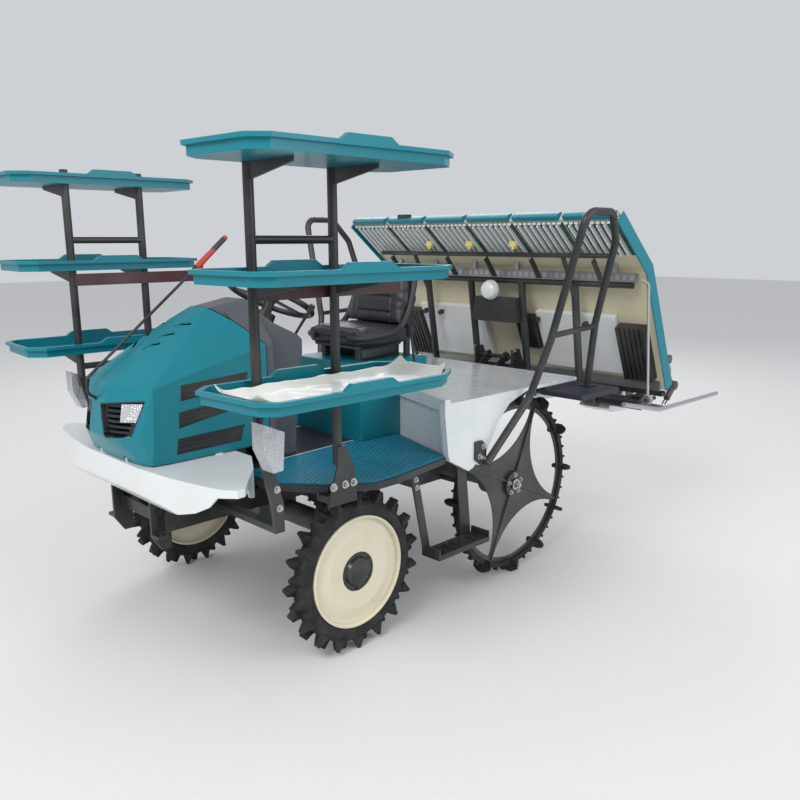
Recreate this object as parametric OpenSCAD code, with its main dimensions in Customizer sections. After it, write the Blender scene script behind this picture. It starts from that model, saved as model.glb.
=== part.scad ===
// Riding rice transplanter for six rows, with the planting unit raised.
// Front of the machine is -Y, its left side is +X, the floor is z = 0.
// All modules draw in a datum with y = 0 at the rear axle.
// in_place() then moves them so that the origin is at the middle of the machine.

/* [Wheels] */
// Distance between the front and rear axles
wheelbase = 1030; // [1020:5:1040]
// Distance between the middles of the rear wheels
track = 1200; // [1190:2:1210]
// Distance between the middles of the front wheels
front_track = 1236; // [1226:2:1240]
// Diameter of a front wheel over its lugs
front_d = 650; // [640:2:654]
// Diameter of a rear wheel over its paddles
rear_d = 900; // [880:2:900]
// Number of lugs round a front tyre
front_lugs = 18; // [14:1:20]
// Number of paddles round a rear wheel
rear_paddles = 12; // [10:1:14]
// Diameter of the cream disc in a front wheel
disc_d = 464; // [450:2:470]

/* [Body] */
// Height of the footboard above the floor
floor_z = 710; // [705:1:715]
// Height of the rear deck above the floor
deck_z = 935; // [928:1:942]
// Width of the bonnet
hood_w = 500; // [490:2:506]
// Height of the bonnet's top
hood_top = 1365; // [1350:1:1375]
// Height of the bonnet's lower edge
hood_z = 800; // [798:1:804]
// Half width of the bumper
bumper_hw = 700; // [680:2:710]
// Height of the seat cushion's underside
seat_z = 1128; // [1118:1:1140]

/* [Seedling racks] */
// Distance of the rack posts from the middle plane
rack_x = 690; // [686:1:700]
// Length of a spare tray
rack_tray_l = 860; // [820:5:880]
// Width of a spare tray
rack_tray_w = 399; // [390:1:402]
// Height of the lowest spare tray
rack_z = 1105; // [1100:1:1115]
// Height step from one tray to the next
rack_step = 365; // [355:1:370]

/* [Lift] */
// Length of a lift link between its pins
link_l = 620; // [610:2:630]
// Slope of the links when the unit is raised, in degrees
link_up = 35; // [34:0.5:36]

/* [Planting unit] */
// Distance between two planted rows
row = 300; // [296:1:302]
// Height of the tray's top edge
tray_top_z = 1690; // [1680:1:1700]
// Height of the tray's lower edge
tray_low_z = 835; // [832:1:840]
// Offset of the arm pins from the rotor axis
rotor_e = 90; // [86:1:92]

/* [Hidden] */
$fn = 48;
rows = 6;
gap = 5;
cushion_h = 78;
disc_r = disc_d / 2 - 5;
hub_flange_r = 92;
front_r = front_d / 2;
rear_r = rear_d / 2;
wheel_x = track / 2;
front_x = front_track / 2;
tyre_w = 68;
king_x = front_x - 103;
// Bonnet, front to rear
nose_y = -1755;
hood_rear_y = -1150;
hood_hw = hood_w / 2;
hinge_y = -1682;
hinge_z = hood_z + 6;
// Lift pins: chassis side, then unit side
pin_y = 110;
pin_z = 400;
pin_rise = 190;
hitch_y = pin_y + link_l * cos(link_up);
hitch_z = pin_z + link_l * sin(link_up);
unit_y = 617.87;
unit_z = 755.62;
unit_shift = [round((hitch_y - unit_y) * 50) / 50, round((hitch_z - unit_z) * 50) / 50];
horn_r = 130;
pin_d = 23.4;
slot_w = 24.4;
rail_z = 520;
engine_z = 590;
// Lashing eyes
tie_x = 186;
tie_y = -1620;
tie_d = 22;
cyl_front_y = -440;
link_range = 55;
horn_a = 90 - link_up + link_range / 2;
// Tray lines in the side view, top to bottom
tray_hw = rows * row / 2 + 12;
tray_top_y = 332;
bend_y = 626;
bend_z = 1449;
low_y = 908;
tray_line = [[tray_top_y, tray_top_z], [bend_y, bend_z], [low_y, tray_low_z]];
// A point on the tray's underside in the side view
function on_tray(y) = y < bend_y ?
    [y, tray_top_z + (y - tray_top_y) * (bend_z - tray_top_z) / (bend_y - tray_top_y)] :
    [y, bend_z + (y - bend_y) * (tray_low_z - bend_z) / (low_y - bend_y)];
// Frame bar and tray rail at the top, slide rail at the bottom
rest_y = 589;
rest_z = 1377;
rest_d = 30;
rail_low = rest_z + rest_d / 2 + 0.3;
slide_z = tray_low_z - 29;
pipe_d = 64;
pipe_end = tray_hw - 30;
guard_x = tray_hw + 90;
float_y = 720;
float_pin_y = 930;
float_pin_z = 766;
// Rotor axis and arms
rotor_y = low_y + 250;
rotor_z = 878;
arm_l = 140;
arm_a = 41;
// Marker rod on the nose and guard rails behind the rotors are the two ends
marker_d = 11;
marker_y = nose_y - 14;
marker_foot = [0, nose_y + 25, 1022.75];
guard_end_y = rotor_y + rotor_e + 40;
bend_extra = 0.8;
mid_y = (marker_y - (marker_d + bend_extra) / 2 + guard_end_y + unit_shift[0]) / 2;
// Racks
rack_front_y = -1500;
rack_rear_y = -1163;
rack_mid_y = (rack_front_y + rack_rear_y) / 2 + 30;
rack_top = rack_z + 2 * rack_step + 60;

// Helpers

module in_place() {
    translate([0, -mid_y, 0])
        children();
}

// The planting unit is drawn with its lower hitch pin at unit_y, unit_z and moved to the links' ends
module in_unit() {
    in_place()
        translate([0, unit_shift[0], unit_shift[1]])
            children();
}

module both() {
    children();
    mirror([1, 0, 0])
        children();
}

module box(x0, x1, y0, y1, z0, z1) {
    translate([x0, y0, z0])
        cube([x1 - x0, y1 - y0, z1 - z0]);
}

// A flat plate drawn in the side view as [y, z] and given a place across x
module side_plate(x, t, pts) {
    translate([x, 0, 0])
        rotate([90, 0, 90])
            linear_extrude(height = t)
                polygon(pts);
}

// A plate drawn in the front view as [x, z], from y0 to y1
module front_plate(y0, y1, pts) {
    translate([0, y1, 0])
        rotate([90, 0, 0])
            linear_extrude(height = y1 - y0)
                polygon(pts);
}

module bar_x(x0, x1, y, z, d) {
    translate([x0, y, z])
        rotate([0, 90, 0])
            cylinder(d = d, h = x1 - x0);
}

module bar_z(x, y, z0, z1, d) {
    translate([x, y, z0])
        cylinder(d = d, h = z1 - z0);
}

// A round bar between two points, with round ends for the bends
module rod(a, b, d) {
    v = b - a;
    l = norm(v);
    translate(a)
        rotate([0, acos(v[2] / l), atan2(v[1], v[0])])
            cylinder(d = d, h = l);
}

// A bent tube through the given corners, with bends of radius r
module tube(pts, d, r) {
    n = len(pts);
    dirs = [for (i = [0 : n - 2]) unit(pts[i + 1] - pts[i])];
    turn = [for (i = [1 : n - 2]) acos(dirs[i - 1] * dirs[i])];
    cut = [for (i = [0 : n - 1]) i == 0 || i == n - 1 ? 0 : r * tan(turn[i - 1] / 2)];
    // straight lengths run a little way into the bends, which are a hair thicker
    for (i = [0 : n - 2])
        rod(pts[i] + max(cut[i] - 2, 0) * dirs[i], pts[i + 1] - max(cut[i + 1] - 2, 0) * dirs[i], d);
    for (i = [1 : n - 2]) {
        u = dirs[i - 1];
        m = unit(dirs[i] - u);
        c = pts[i] + m * r / cos(turn[i - 1] / 2);
        x = unit(pts[i] - cut[i] * u - c);
        z = cross(x, u);
        multmatrix([[x[0], u[0], z[0], c[0]], [x[1], u[1], z[1], c[1]], [x[2], u[2], z[2], c[2]], [0, 0, 0, 1]])
            rotate_extrude(angle = turn[i - 1])
                translate([r, 0])
                    circle(d = d + bend_extra);
    }
}

// Unit normals and mitred offsets of a line in the side view
function unit(v) = v / norm(v);
function left_of(v) = [-v[1], v[0]];
function normal_at(p, i) =
    i == 0 ? left_of(unit(p[1] - p[0])) :
    i == len(p) - 1 ? left_of(unit(p[i] - p[i - 1])) :
    let (a = left_of(unit(p[i] - p[i - 1])), b = left_of(unit(p[i + 1] - p[i])), m = unit(a + b))
    m / (m * a);
function shifted(p, d) = [for (i = [0 : len(p) - 1]) p[i] + d * normal_at(p, i)];
function band(p, d0, d1) =
    let (b = shifted(p, d1))
    concat(shifted(p, d0), [for (i = [len(b) - 1 : -1 : 0]) b[i]]);

// Chassis

module chassis_frame() {
    color("dimgray")
    in_place()
    difference() {
        union() {
            both() {
                box(150, 200, -1600, 56, rail_z, rail_z + 80);
                side_plate(150, 12, [[-1640, 500], [-1600, 440], [-1560, 440], [-1560, 640], [-1640, 640]]);
                // lashing eye at the foot of the front bracket
                box(155, tie_x + 20, tie_y - 20, tie_y + 20, 500, 512);
                // arms out to the bumper's front wall
                box(150, 180, -1692.7, -1600, 710, 742);
                box(150, 180, -1610, -1570, rail_z + 70, 742);
                // posts under the footboard, the seat base and the rear deck
                box(150, 200, -620, -570, rail_z + 70, floor_z - 34);
                box(150, 200, -240, -205, rail_z + 70, floor_z - 8);
                box(150, 200, -150, -90, rail_z + 70, deck_z - 16);
                // ears for the lift pins
                box(80, 96, 56, 165, 350, 660);
            }
            for (y = [-1600, -1500, -1260, -660])
                box(-160, 160, y, y + 50, rail_z + 20, engine_z);
            box(-160, 160, cyl_front_y - 30, cyl_front_y, 480, rail_z + 60);
            // plate behind the rear axle case
            box(-200, 200, 50, 62, 350, 660);
        }
        both()
            bar_x(70, 110, pin_y, pin_z, pin_d + 0.6);
        both()
            bar_x(70, 110, pin_y, pin_z + pin_rise, pin_d + 0.6);
        // window for the lift rod and the horn
        box(-149, -97, 40, 70, 440, 600);
        both()
            bar_z(tie_x, tie_y, 490, 520, tie_d);
    }
}

module engine_block() {
    color("gray")
    in_place()
        box(-140, 140, -1540, -1190, engine_z, 960);
}

// Axles, knuckles and wheels

module front_axle() {
    color("dimgray")
    in_place() {
        bar_x(-king_x + 34, king_x - 34, -wheelbase, 470, 90);
        box(-110, 110, -wheelbase - 90, -wheelbase + 90, 400, rail_z + 10);
        both() {
            box(150, 200, -wheelbase - 40, -wheelbase + 40, 470, rail_z);
            difference() {
                bar_z(king_x, -wheelbase, 415, 540, 84);
                bar_z(king_x, -wheelbase, 410, 545, 40.6);
            }
        }
    }
}

module knuckle() {
    bar_z(king_x, -wheelbase, front_r - 40, 550, 40);
    bar_z(king_x, -wheelbase, front_r - 50, 414.7, 84);
    bar_x(king_x, front_x - 32, -wheelbase, front_r, 84);
    bar_x(front_x - 60, front_x + 20, -wheelbase, front_r, 40);
    bar_z(king_x, -wheelbase, 540.3, 558, 66);
}

module knuckle_left() {
    color("dimgray")
    in_place()
        knuckle();
}

module knuckle_right() {
    color("dimgray")
    in_place()
    mirror([1, 0, 0])
        knuckle();
}

module rear_axle() {
    color("dimgray")
    in_place() {
        bar_x(-wheel_x + 62, wheel_x - 62, 0, rear_r, 92);
        both() {
            bar_x(wheel_x - 70, wheel_x + 24, 0, rear_r, 44);
            bar_x(wheel_x - 150, wheel_x - 70, 0, rear_r, 150);
            // feet up to the frame rails
            box(150, 200, -40, 40, rear_r, rail_z);
        }
        box(-92, 92, -170, 50, 350, 500);
    }
}

// One front lug, drawn at the top of the wheel: a wedge that leans to its tip
module front_lug(side) {
    h0 = front_r - 52;
    translate([side * tyre_w / 4, 0, 0])
    rotate([0, 0, side * 22])
    rotate([90, 0, 90])
    translate([0, 0, -tyre_w / 4])
    linear_extrude(height = tyre_w / 2)
        polygon([[-26, h0], [26, h0], [16, front_r - 22], [6, front_r], [-6, front_r], [-14, front_r - 24]]);
}

module front_tyre() {
    r_body = front_r - 40;
    r_in = disc_r + 0.3;
    hw = tyre_w / 2;
    translate([front_x, -wheelbase, front_r]) {
        rotate([0, 90, 0])
        rotate_extrude($fn = 96)
            polygon([[r_in, -hw + 8], [r_in + 14, -hw], [r_body - 14, -hw + 2], [r_body, -hw + 14], [r_body, hw - 14],
                [r_body - 14, hw - 2], [r_in + 14, hw], [r_in, hw - 8]]);
        for (i = [0 : front_lugs - 1])
            rotate([180 + i * 360 / front_lugs, 0, 0])
                front_lug(1);
        for (i = [0 : front_lugs - 1])
            rotate([180 + (i + 0.5) * 360 / front_lugs, 0, 0])
                front_lug(-1);
    }
}

module front_disc() {
    r = disc_r;
    translate([front_x, -wheelbase, front_r])
    rotate([0, 90, 0])
        rotate_extrude($fn = 96)
            polygon([[hub_flange_r - 12, 20], [150, 24], [r - 30, 10], [r - 7, 10], [r - 7, -30], [r, -30],
                [r, 34], [r - 7, 36], [r - 12, 31], [r - 12, 16], [r - 28, 16], [150, 30], [hub_flange_r - 12, 26]]);
}

// Black hub with a closed cap over the spindle's end
module front_hub() {
    translate([front_x, -wheelbase, front_r])
    rotate([0, 90, 0]) {
        rotate_extrude($fn = 72)
            polygon([[20.3, -26], [50, -26], [50, 12], [hub_flange_r, 12], [hub_flange_r, 19.4],
                [62, 19.4], [54, 34], [30, 40], [0, 40], [0, 28], [20.3, 28]]);
        for (i = [0 : 5])
            rotate([0, 0, i * 60])
                translate([73, 0, 18])
                    cylinder(d = 13, h = 9, $fn = 6);
    }
}

module front_tyre_left() {
    color("#202224")
    in_place()
        front_tyre();
}

module front_tyre_right() {
    color("#202224")
    in_place()
    mirror([1, 0, 0])
        front_tyre();
}

module front_hub_left() {
    color("#1c1d1f")
    in_place()
        front_hub();
}

module front_hub_right() {
    color("#1c1d1f")
    in_place()
    mirror([1, 0, 0])
        front_hub();
}

module front_disc_left() {
    color("#e8e2cf")
    in_place()
        front_disc();
}

module front_disc_right() {
    color("#e8e2cf")
    in_place()
    mirror([1, 0, 0])
        front_disc();
}

rim_r = rear_r - 48;
hub_r = 62;
rim_w = 26;

// Four large round openings leave a star whose points reach the rim
module rear_web() {
    arm_turn = -24;
    open_c = 526;
    open_r = 357;
    edge = rim_r - 37;
    translate([wheel_x, 0, rear_r])
    rotate([0, 90, 0]) {
        difference() {
            union() {
                translate([0, 0, -3])
                    cylinder(r = rim_r - 14.3, h = 6, $fn = 96);
                translate([0, 0, -34])
                    cylinder(r = hub_r, h = 52);
                for (i = [0 : 3])
                    rotate([0, 0, i * 90 + arm_turn])
                        translate([0, -4, -12])
                            cube([rim_r - 20, 8, 24]);
            }
            for (i = [0 : 3])
                rotate([0, 0, i * 90 + arm_turn + 45])
                    intersection() {
                        translate([open_c, 0, -40])
                            cylinder(r = open_r, h = 80, $fn = 96);
                        rotate([0, 0, -arm_turn - 45])
                            translate([0, 0, -50])
                                cylinder(r = edge, h = 100, $fn = 96);
                    }
            translate([0, 0, -40])
                cylinder(d = 44.6, h = 80);
        }
    }
}

module rear_paddle() {
    front_plate(-7, 7, [[-11, rim_r - 12.4], [-41, rim_r - 11], [-50, rim_r + 6], [-46, rim_r + 30],
        [-28, rim_r + 40], [-12, rear_r], [12, rear_r], [28, rim_r + 40], [46, rim_r + 30], [50, rim_r + 6],
        [41, rim_r - 11], [11, rim_r - 12.4]]);
}

module rear_paddles() {
    translate([wheel_x, 0, rear_r]) {
        rotate([0, 90, 0])
        rotate_extrude($fn = 96)
        translate([rim_r, 0])
            polygon([[-14, -rim_w / 2], [10, -rim_w / 2], [16, 0], [10, rim_w / 2], [-14, rim_w / 2]]);
        for (i = [0 : rear_paddles - 1])
            rotate([180 + i * 360 / rear_paddles, 0, 0])
                rear_paddle();
        for (i = [0 : rear_paddles - 1], k = [1 : 3])
            rotate([180 + (i + k / 4) * 360 / rear_paddles, 0, 0])
                translate([-11.5, -5, rim_r])
                    cube([23, 10, 27]);
    }
}

module rear_web_left() {
    color("#2b2e30")
    in_place()
        rear_web();
}

module rear_web_right() {
    color("#2b2e30")
    in_place()
    mirror([1, 0, 0])
        rear_web();
}

module rear_paddles_left() {
    color("#1d1f20")
    in_place()
        rear_paddles();
}

module rear_paddles_right() {
    color("#1d1f20")
    in_place()
    mirror([1, 0, 0])
        rear_paddles();
}

// Bumper and bonnet

// Half of the bumper's outline seen from above, front to rear
function bumper_half(d) = [[200, -1700 + d], [400, -1680 + d], [540, -1652 + d], [bumper_hw - 60 - d * 0.5, -1626 + d],
    [bumper_hw - 10 - d, -1591 + d * 0.4], [bumper_hw - 14 - d, -1560], [590 - d, -1477 - d * 0.5],
    [504 - d * 0.7, -1402 - d * 0.7], [359 - d * 0.4, -1312 - d], [262, -1312 - d]];
function mirrored(p) = [for (i = [len(p) - 1 : -1 : 0]) [-p[i][0], p[i][1]]];
bumper_top = hood_z - gap;
// The front wall leans in below; the hollow runs out at the bottom
function bumper_side(d) = [[-1712 + d, bumper_top - d], [-1712 + d, 740], [-1694 + d, 690], [-1655 + d, 650],
    [-1590 + d, 632 - d * 8], [-1280, 632 - d * 8], [-1280, bumper_top - d]];
// Lower edge seen from the front: it rises to the two ends
bumper_edge = [[200, 636], [380, 655], [520, 690], [585, 722], [625, 764], [710, 768], [710, 800]];

module bumper_form(d) {
    intersection() {
        translate([0, 0, 560])
            linear_extrude(height = 260)
                polygon(concat(mirrored(bumper_half(d)), bumper_half(d)));
        side_plate(-bumper_hw - 20, 2 * bumper_hw + 40, bumper_side(d));
    }
}

module bumper() {
    color("white")
    in_place()
    difference() {
        union() {
            difference() {
                intersection() {
                    bumper_form(0);
                    front_plate(-1800, -1200, concat(mirrored(bumper_edge), bumper_edge));
                }
                bumper_form(7);
                // room behind for the bonnet's engine bay
                box(-hood_hw + 12, hood_hw - 12, -1655, -1300, 600, 900);
            }
            // bonnet hinge lugs and buffers
            both() {
                bar_x(100, 108, hinge_y, hinge_z, 20);
                box(100, 108, hinge_y - 8, hinge_y + 8, bumper_top - 4, hinge_z);
                box(hood_hw - 10, hood_hw, -1400, -1370, bumper_top - 4, hood_z - 0.3);
            }
        }
        both()
            bar_x(90, 120, hinge_y, hinge_z, 10.6);
    }
}

// Corners of the bonnet's left half: lower edge, crease round the nose, brow, crest, shoulder, rear
hood_pts = [[60, -1690, hood_z], [205, -1675, hood_z], [hood_hw - 7, -1655, hood_z], [hood_hw, -1600, hood_z],
    [hood_hw, hood_rear_y, hood_z],
    [40, nose_y + 3, 900], [120, nose_y + 17, 900], [hood_hw - 25, -1690, 900], [hood_hw, -1650, 900],
    [60, nose_y + 21, 1080], [hood_hw - 14, -1652, 1080], [hood_hw, -1640, 1080],
    [60, -1645, 1141], [60, -1534, 1217], [60, -1434, 1273], [60, -1290, hood_top - 25], [60, hood_rear_y, hood_top],
    [hood_hw, -1400, 1138], [120, hood_rear_y, 1333], [200, hood_rear_y, 1246], [hood_hw, hood_rear_y, 1192]];
// The hollow runs on below the lower edge and behind the rear edge
hood_more = [[60, -1665, hood_z - 40], [200, -1655, hood_z - 40], [hood_hw - 12, -1640, hood_z - 40],
    [hood_hw, -1580, hood_z - 40], [hood_hw, hood_rear_y + 40, hood_z - 40], [60, hood_rear_y + 40, hood_top + 7],
    [120, hood_rear_y + 40, 1340], [200, hood_rear_y + 40, 1254], [hood_hw, hood_rear_y + 40, 1201]];
function hood_in(p, d) = [p[0] * (1 - d / hood_hw), hood_rear_y + (p[1] - hood_rear_y) * (1 - d / 605),
    hood_z + (p[2] - hood_z) * (1 - d / 565)];

// Outer form of the bonnet, or the form of its hollow when d is the wall
module hood_form(d) {
    pts = [for (p = d > 0 ? concat(hood_pts, hood_more) : hood_pts) hood_in(p, d)];
    core = [0, -1400, 950];
    hull()
        both()
            for (i = [0 : len(pts) - 3])
                wedge(core, pts[i], pts[i + 1], pts[i + 2]);
}

// Solid with four corners; the faces turn outwards whichever way the corners run
module wedge(a, b, c, d) {
    flip = cross(b - a, c - a) * (d - a) > 0;
    polyhedron(points = flip ? [a, c, b, d] : [a, b, c, d], faces = [[0, 1, 2], [0, 3, 1], [1, 3, 2], [0, 2, 3]]);
}

// The rear edge is an arc about the hinge, so that the bonnet swings past the cowl
hood_arc = 660;

// The three openings in each side, each as front low, front top, rear top, rear low
vents = [[[-1563, 826], [-1554, 885], [-1263, 894], [-1280, 830]],
    [[-1547, 923], [-1544, 983], [-1414, 995], [-1336, 955]],
    [[-1534, 1023], [-1530, 1082], [-1241, 1099], [-1244, 1045]]];
function between(a, b, t) = a + (b - a) * t;
function grown(q, d) = let (c = (q[0] + q[1] + q[2] + q[3]) / 4)
    [for (p = q) p + d * [sign(p[0] - c[0]), sign(p[1] - c[1])]];

// Pocket beside the keel of the nose and the lamp in it, drawn in the front view
pocket = [[62, 890], [190, 908], [232, 1040], [34, 1018]];
lamp_face = [[134, 956], [198, 960], [217, 1027], [134, 1021]];
// Slots in the top: place of the inner end
top_slots = [[50, -1433], [47, -1505], [45, -1565]];

module hood() {
    color("teal")
    in_place() {
        intersection() {
            difference() {
                hood_form(0);
                hood_form(5);
                both() {
                    for (v = vents)
                        side_plate(hood_hw - 40, 60, v);
                    front_plate(-1800, -1600, pocket);
                    for (p = top_slots)
                        translate([p[0], p[1], 1150])
                            rotate([0, 0, 50])
                                cube([66, 14, 250]);
                }
                // notches for the hinge lugs and the hole for the marker's foot
                both()
                    box(96, 110, hinge_y - 20, hinge_y + 20, hood_z - 20, hinge_z + 14);
                rod(marker_foot, [0, marker_y, 1052], marker_d + 0.6);
            }
            bar_x(-hood_hw - 10, hood_hw + 10, hinge_y, hinge_z, 2 * hood_arc, $fn = 360);
        }
        // hinge pins
        both() {
            bar_x(98, 122, hinge_y, hinge_z, 10);
            box(112, 120, -1690, hinge_y + 6, hood_z + 1, hinge_z + 12);
        }
    }
}

module hood_grilles() {
    color("#1c1e20")
    in_place() {
        both()
            for (v = vents)
                difference() {
                    side_plate(hood_hw - 13, 7.7, grown(v, 9));
                    for (t = [0.08, 0.38, 0.68])
                        side_plate(hood_hw - 8, 8, [between(v[0], v[1], t) + [12, 0], between(v[3], v[2], t) - [12, 0],
                            between(v[3], v[2], t + 0.18) - [12, 0], between(v[0], v[1], t + 0.18) + [12, 0]]);
                }
        // nose panels, set back in their pockets
        difference() {
            intersection() {
                hood_form(1);
                both()
                    front_plate(-1800, -1600, grown(pocket, -0.3));
            }
            hood_form(22);
            difference() {
                both()
                    front_plate(-1800, -1600, grown(pocket, -6));
                hood_form(14);
            }
            both()
                for (i = [0 : 5])
                    box(60, 190, -1780, -1700 + i * 7, 902 + i * 19, 912 + i * 19);
        }
    }
}

module headlamps() {
    color("white")
    in_place()
    difference() {
        intersection() {
            hood_form(4);
            both()
                front_plate(-1800, -1600, lamp_face);
        }
        hood_form(13.6);
    }
}

// A thin rod that stands on the nose and leads back over the bonnet
module centre_marker() {
    color("#202224")
    in_place() {
        tube([marker_foot, [0, marker_y, 1052], [0, marker_y, 1106], [0, -1300, 1486]], marker_d, 26);
        rod([0, -1302, 1484], [0, -1159, 1604], 22);
    }
}

// Cowl, steering and controls

module dash_cowl() {
    pod = [[-1240, 1320], [-1110, 1326], [-1040, 1268], [-930, 1212], [-907, 1190], [-907, 1131], [-941, 1035],
        [-958, floor_z - 8], [-1120, floor_z - 8], [-1120, 1100], [-1240, 1100]];
    color("#3c4044")
    in_place()
    difference() {
        union() {
            intersection() {
                side_plate(-170, 340, pod);
                front_plate(-1400, -800, [[-165, floor_z - 8], [-165, 1206], [-140, 1290], [-90, hood_top],
                    [90, hood_top], [140, 1290], [165, 1206], [165, floor_z - 8]]);
            }
            // hood line carried on over the dash, with the bulkhead below it
            intersection() {
                hood_form(3);
                box(-hood_hw, hood_hw, -1310, hood_rear_y + 36, hood_z - 10, hood_top);
            }
        }
        // swing of the bonnet
        intersection() {
            bar_x(-hood_hw - 10, hood_hw + 10, hinge_y, hinge_z, 2 * hood_arc + 2 * gap, $fn = 360);
            box(-hood_hw - 10, hood_hw + 10, -1400, hood_rear_y + gap, 600, 1500);
        }
        box(-150, 150, -1400, -980, floor_z - 20, 1120);
        box(-130, 130, -1400, -1080, 1100, 1290);
        rod(collar_low - 0.3 * column_v, collar_top, 90.6);
        for (l = dash_levers)
            rod(l[0], l[1], 12.6);
    }
}

column_low = [0, -1010, 1215];
column_top = [0, -945, 1345];

column_v = unit(column_top - column_low);
collar_low = column_low - 18 * column_v;
collar_top = column_low + 88 * column_v;
// Levers beside the column, from the cowl to the knob
dash_levers = [[[118, -938, 1168], [206, -890, 1316]], [[-118, -938, 1168], [-206, -890, 1296]]];

module steering_column() {
    color("#2a2c2e")
    in_place() {
        rod(column_low, column_top, 46);
        rod(collar_low, collar_top, 90);
    }
}

module steering_wheel() {
    v = column_top - column_low;
    tilt = atan2(v[1], v[2]);
    color("#1b1c1e")
    in_place()
    translate(column_top)
    rotate([-tilt, 0, 0])
    translate([0, 0, 0.3]) {
        rotate_extrude($fn = 64)
            translate([185, 8])
                circle(d = 26, $fn = 20);
        cylinder(d = 70, h = 22);
        for (a = [90, 210, 330])
            rotate([0, 0, a])
                translate([0, -13, 4])
                    cube([185, 26, 9]);
    }
}

// A bare rod with a grip on its end, fatter in the middle
module lever(a, b) {
    v = unit(b - a);
    rod(a, b, 12);
    rod(b - 14 * v, b + 24 * v, 22);
    rod(b - 6 * v, b + 16 * v, 30);
}

module control_levers() {
    color("#202224")
    in_place() {
        for (l = dash_levers)
            lever(l[0], l[1]);
        // gates and levers beside the seat
        both() {
            box(250, 292, -390, -260, deck_z, deck_z + 14);
            lever([271, -320, deck_z + 5], [271, -360, 1195]);
        }
    }
}

// Footboard, steps, seat and deck

outline_half = [[180, -1298], [450, -1303], [640, -1170], [735, -1010], [735, -900], [676, -560], [520, -510],
    [250, -420], [180, -420]];

module footboard() {
    color("#222426")
    in_place() {
        both()
            translate([0, 0, floor_z - 34])
                linear_extrude(height = 26)
                    polygon(outline_half);
        box(-184, 184, -1180, -420, floor_z - 34, floor_z - 8);
        both()
            box(150, 200, -1000, -940, rail_z + 80, floor_z - 30);
    }
}

module footboard_mats() {
    color("#0f6f8c")
    in_place()
    both()
        translate([0, 0, floor_z - 8])
            linear_extrude(height = 8)
                polygon([[262, -1286], [446, -1291], [628, -1162], [722, -1010], [722, -905], [670, -570], [656, -556],
                    [246, -420], [246, -646], [198, -652], [224, -1053], [224, -1092], [262, -1092]]);
}

// Dark mat between the trim strips, in front of the seat
module inner_mats() {
    color("#1c1f22")
    in_place()
        translate([0, 0, floor_z - 8])
            linear_extrude(height = 7)
                polygon([[192, -652], [217, -1053], [217, -1090], [171, -1090], [171, -952], [-171, -952],
                    [-171, -1090], [-217, -1090], [-217, -1053], [-192, -652]]);
}

module side_step() {
    y0 = -694;
    y1 = -370;
    z = 325;
    difference() {
        union() {
            box(668, 768, y0, y1, z - 22, z);
            box(668, 768, y0, y0 + 8, z - 22, z + 26);
            box(668, 768, y1 - 8, y1, z - 22, z + 26);
        }
        for (i = [0 : 5])
            box(684, 752, y0 + 24 + i * 50, y0 + 58 + i * 50, z - 30, z + 5);
    }
    side_plate(672, 8, [[y0 + 2, z - 10], [y0 + 40, z - 10], [-733, floor_z - 34], [-773, floor_z - 34]]);
    box(200, 676, -776, -736, floor_z - 60, floor_z - 34);
    // the rear leg goes up behind the fender's skirt
    side_plate(fender_x0 - 6.3, 6, [[y1 - 62, z - 22], [y1 - 2, z - 22], [-400, 540], [-420, 688], [-470, 688],
        [-460, 540]]);
    box(fender_x0 - 6.3, 676, y1 - 60, y1 - 4, z - 22, z - 10);
}

module side_steps() {
    color("#1f2123")
    in_place()
    both()
        side_step();
}

module seat_base() {
    color("#0c5c66")
    in_place()
    difference() {
        box(-235, 235, -640, -215, floor_z - 8, 1055);
        box(-225, 225, -630, -225, floor_z - 20, 1045);
    }
}

module seat_cushion() {
    color("#1e2022")
    in_place() {
        translate([0, 0, seat_z])
        linear_extrude(height = cushion_h)
            polygon([[-176, -620], [176, -620], [204, -580], [207, -285], [-207, -285], [-204, -580]]);
        both()
            box(120, 150, -560, -300, 1055, seat_z + 1);
    }
}

module seat_back() {
    top = seat_z + cushion_h + 0.3;
    color("#1e2022")
    in_place() {
        intersection() {
            side_plate(-205, 410, [[-284.7, seat_z + 6], [-284.7, top], [-355, top], [-325, 1363], [-287, 1453],
                [-243, 1461], [-215, 1433], [-225, seat_z + 60], [-250, seat_z + 6]]);
            front_plate(-425, -125, [[-198, seat_z], [-205, 1333], [-165, 1458], [165, 1458], [205, 1333],
                [198, seat_z]]);
        }
        both()
            box(150, 168, -283, -253, 1055, seat_z + 20);
    }
}

fender_x0 = wheel_x + 62;
fender_x1 = wheel_x + 92;

module rear_deck() {
    color("white")
    in_place() {
        difference() {
            union() {
                translate([0, 0, deck_z - 16])
                    linear_extrude(height = 16)
                        polygon([[-fender_x1, -556], [-252, -410], [252, -410], [fender_x1, -556], [fender_x1, 380],
                            [-fender_x1, 380]]);
                both() {
                    // front wall that runs out at a slant, with its nose band
                    translate([0, 0, floor_z - 8])
                        linear_extrude(height = deck_z - floor_z + 8)
                            polygon([[252, -410], [fender_x1, -556], [fender_x1, -546], [252, -400]]);
                    translate([0, 0, deck_z - 34])
                        linear_extrude(height = 52)
                            polygon([[252, -436], [fender_x1, -584], [fender_x1, -550], [252, -404]]);
                    // outer skirt round the front of the wheel
                    side_plate(fender_x0, 30, [[-553, 690], [-430, 620], [-402, 628], [-300, 700], [-228, 812],
                        [-150, 880], [-30, deck_z - 16], [-30, deck_z], [-584, deck_z], [-584, deck_z - 40],
                        [-559, floor_z - 7.5], [-553, floor_z - 7.5]]);
                }
            }
            box(-245, 245, -650, -205, floor_z, 1100);
        }
    }
}

module rear_steps() {
    color("#20242c")
    in_place()
    both() {
        box(fender_x1 - 20, 900, 110, 432, 880, 905);
        box(fender_x1 - 20, fender_x1 + 10, 110, 375, 900, deck_z - 16);
    }
}

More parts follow.
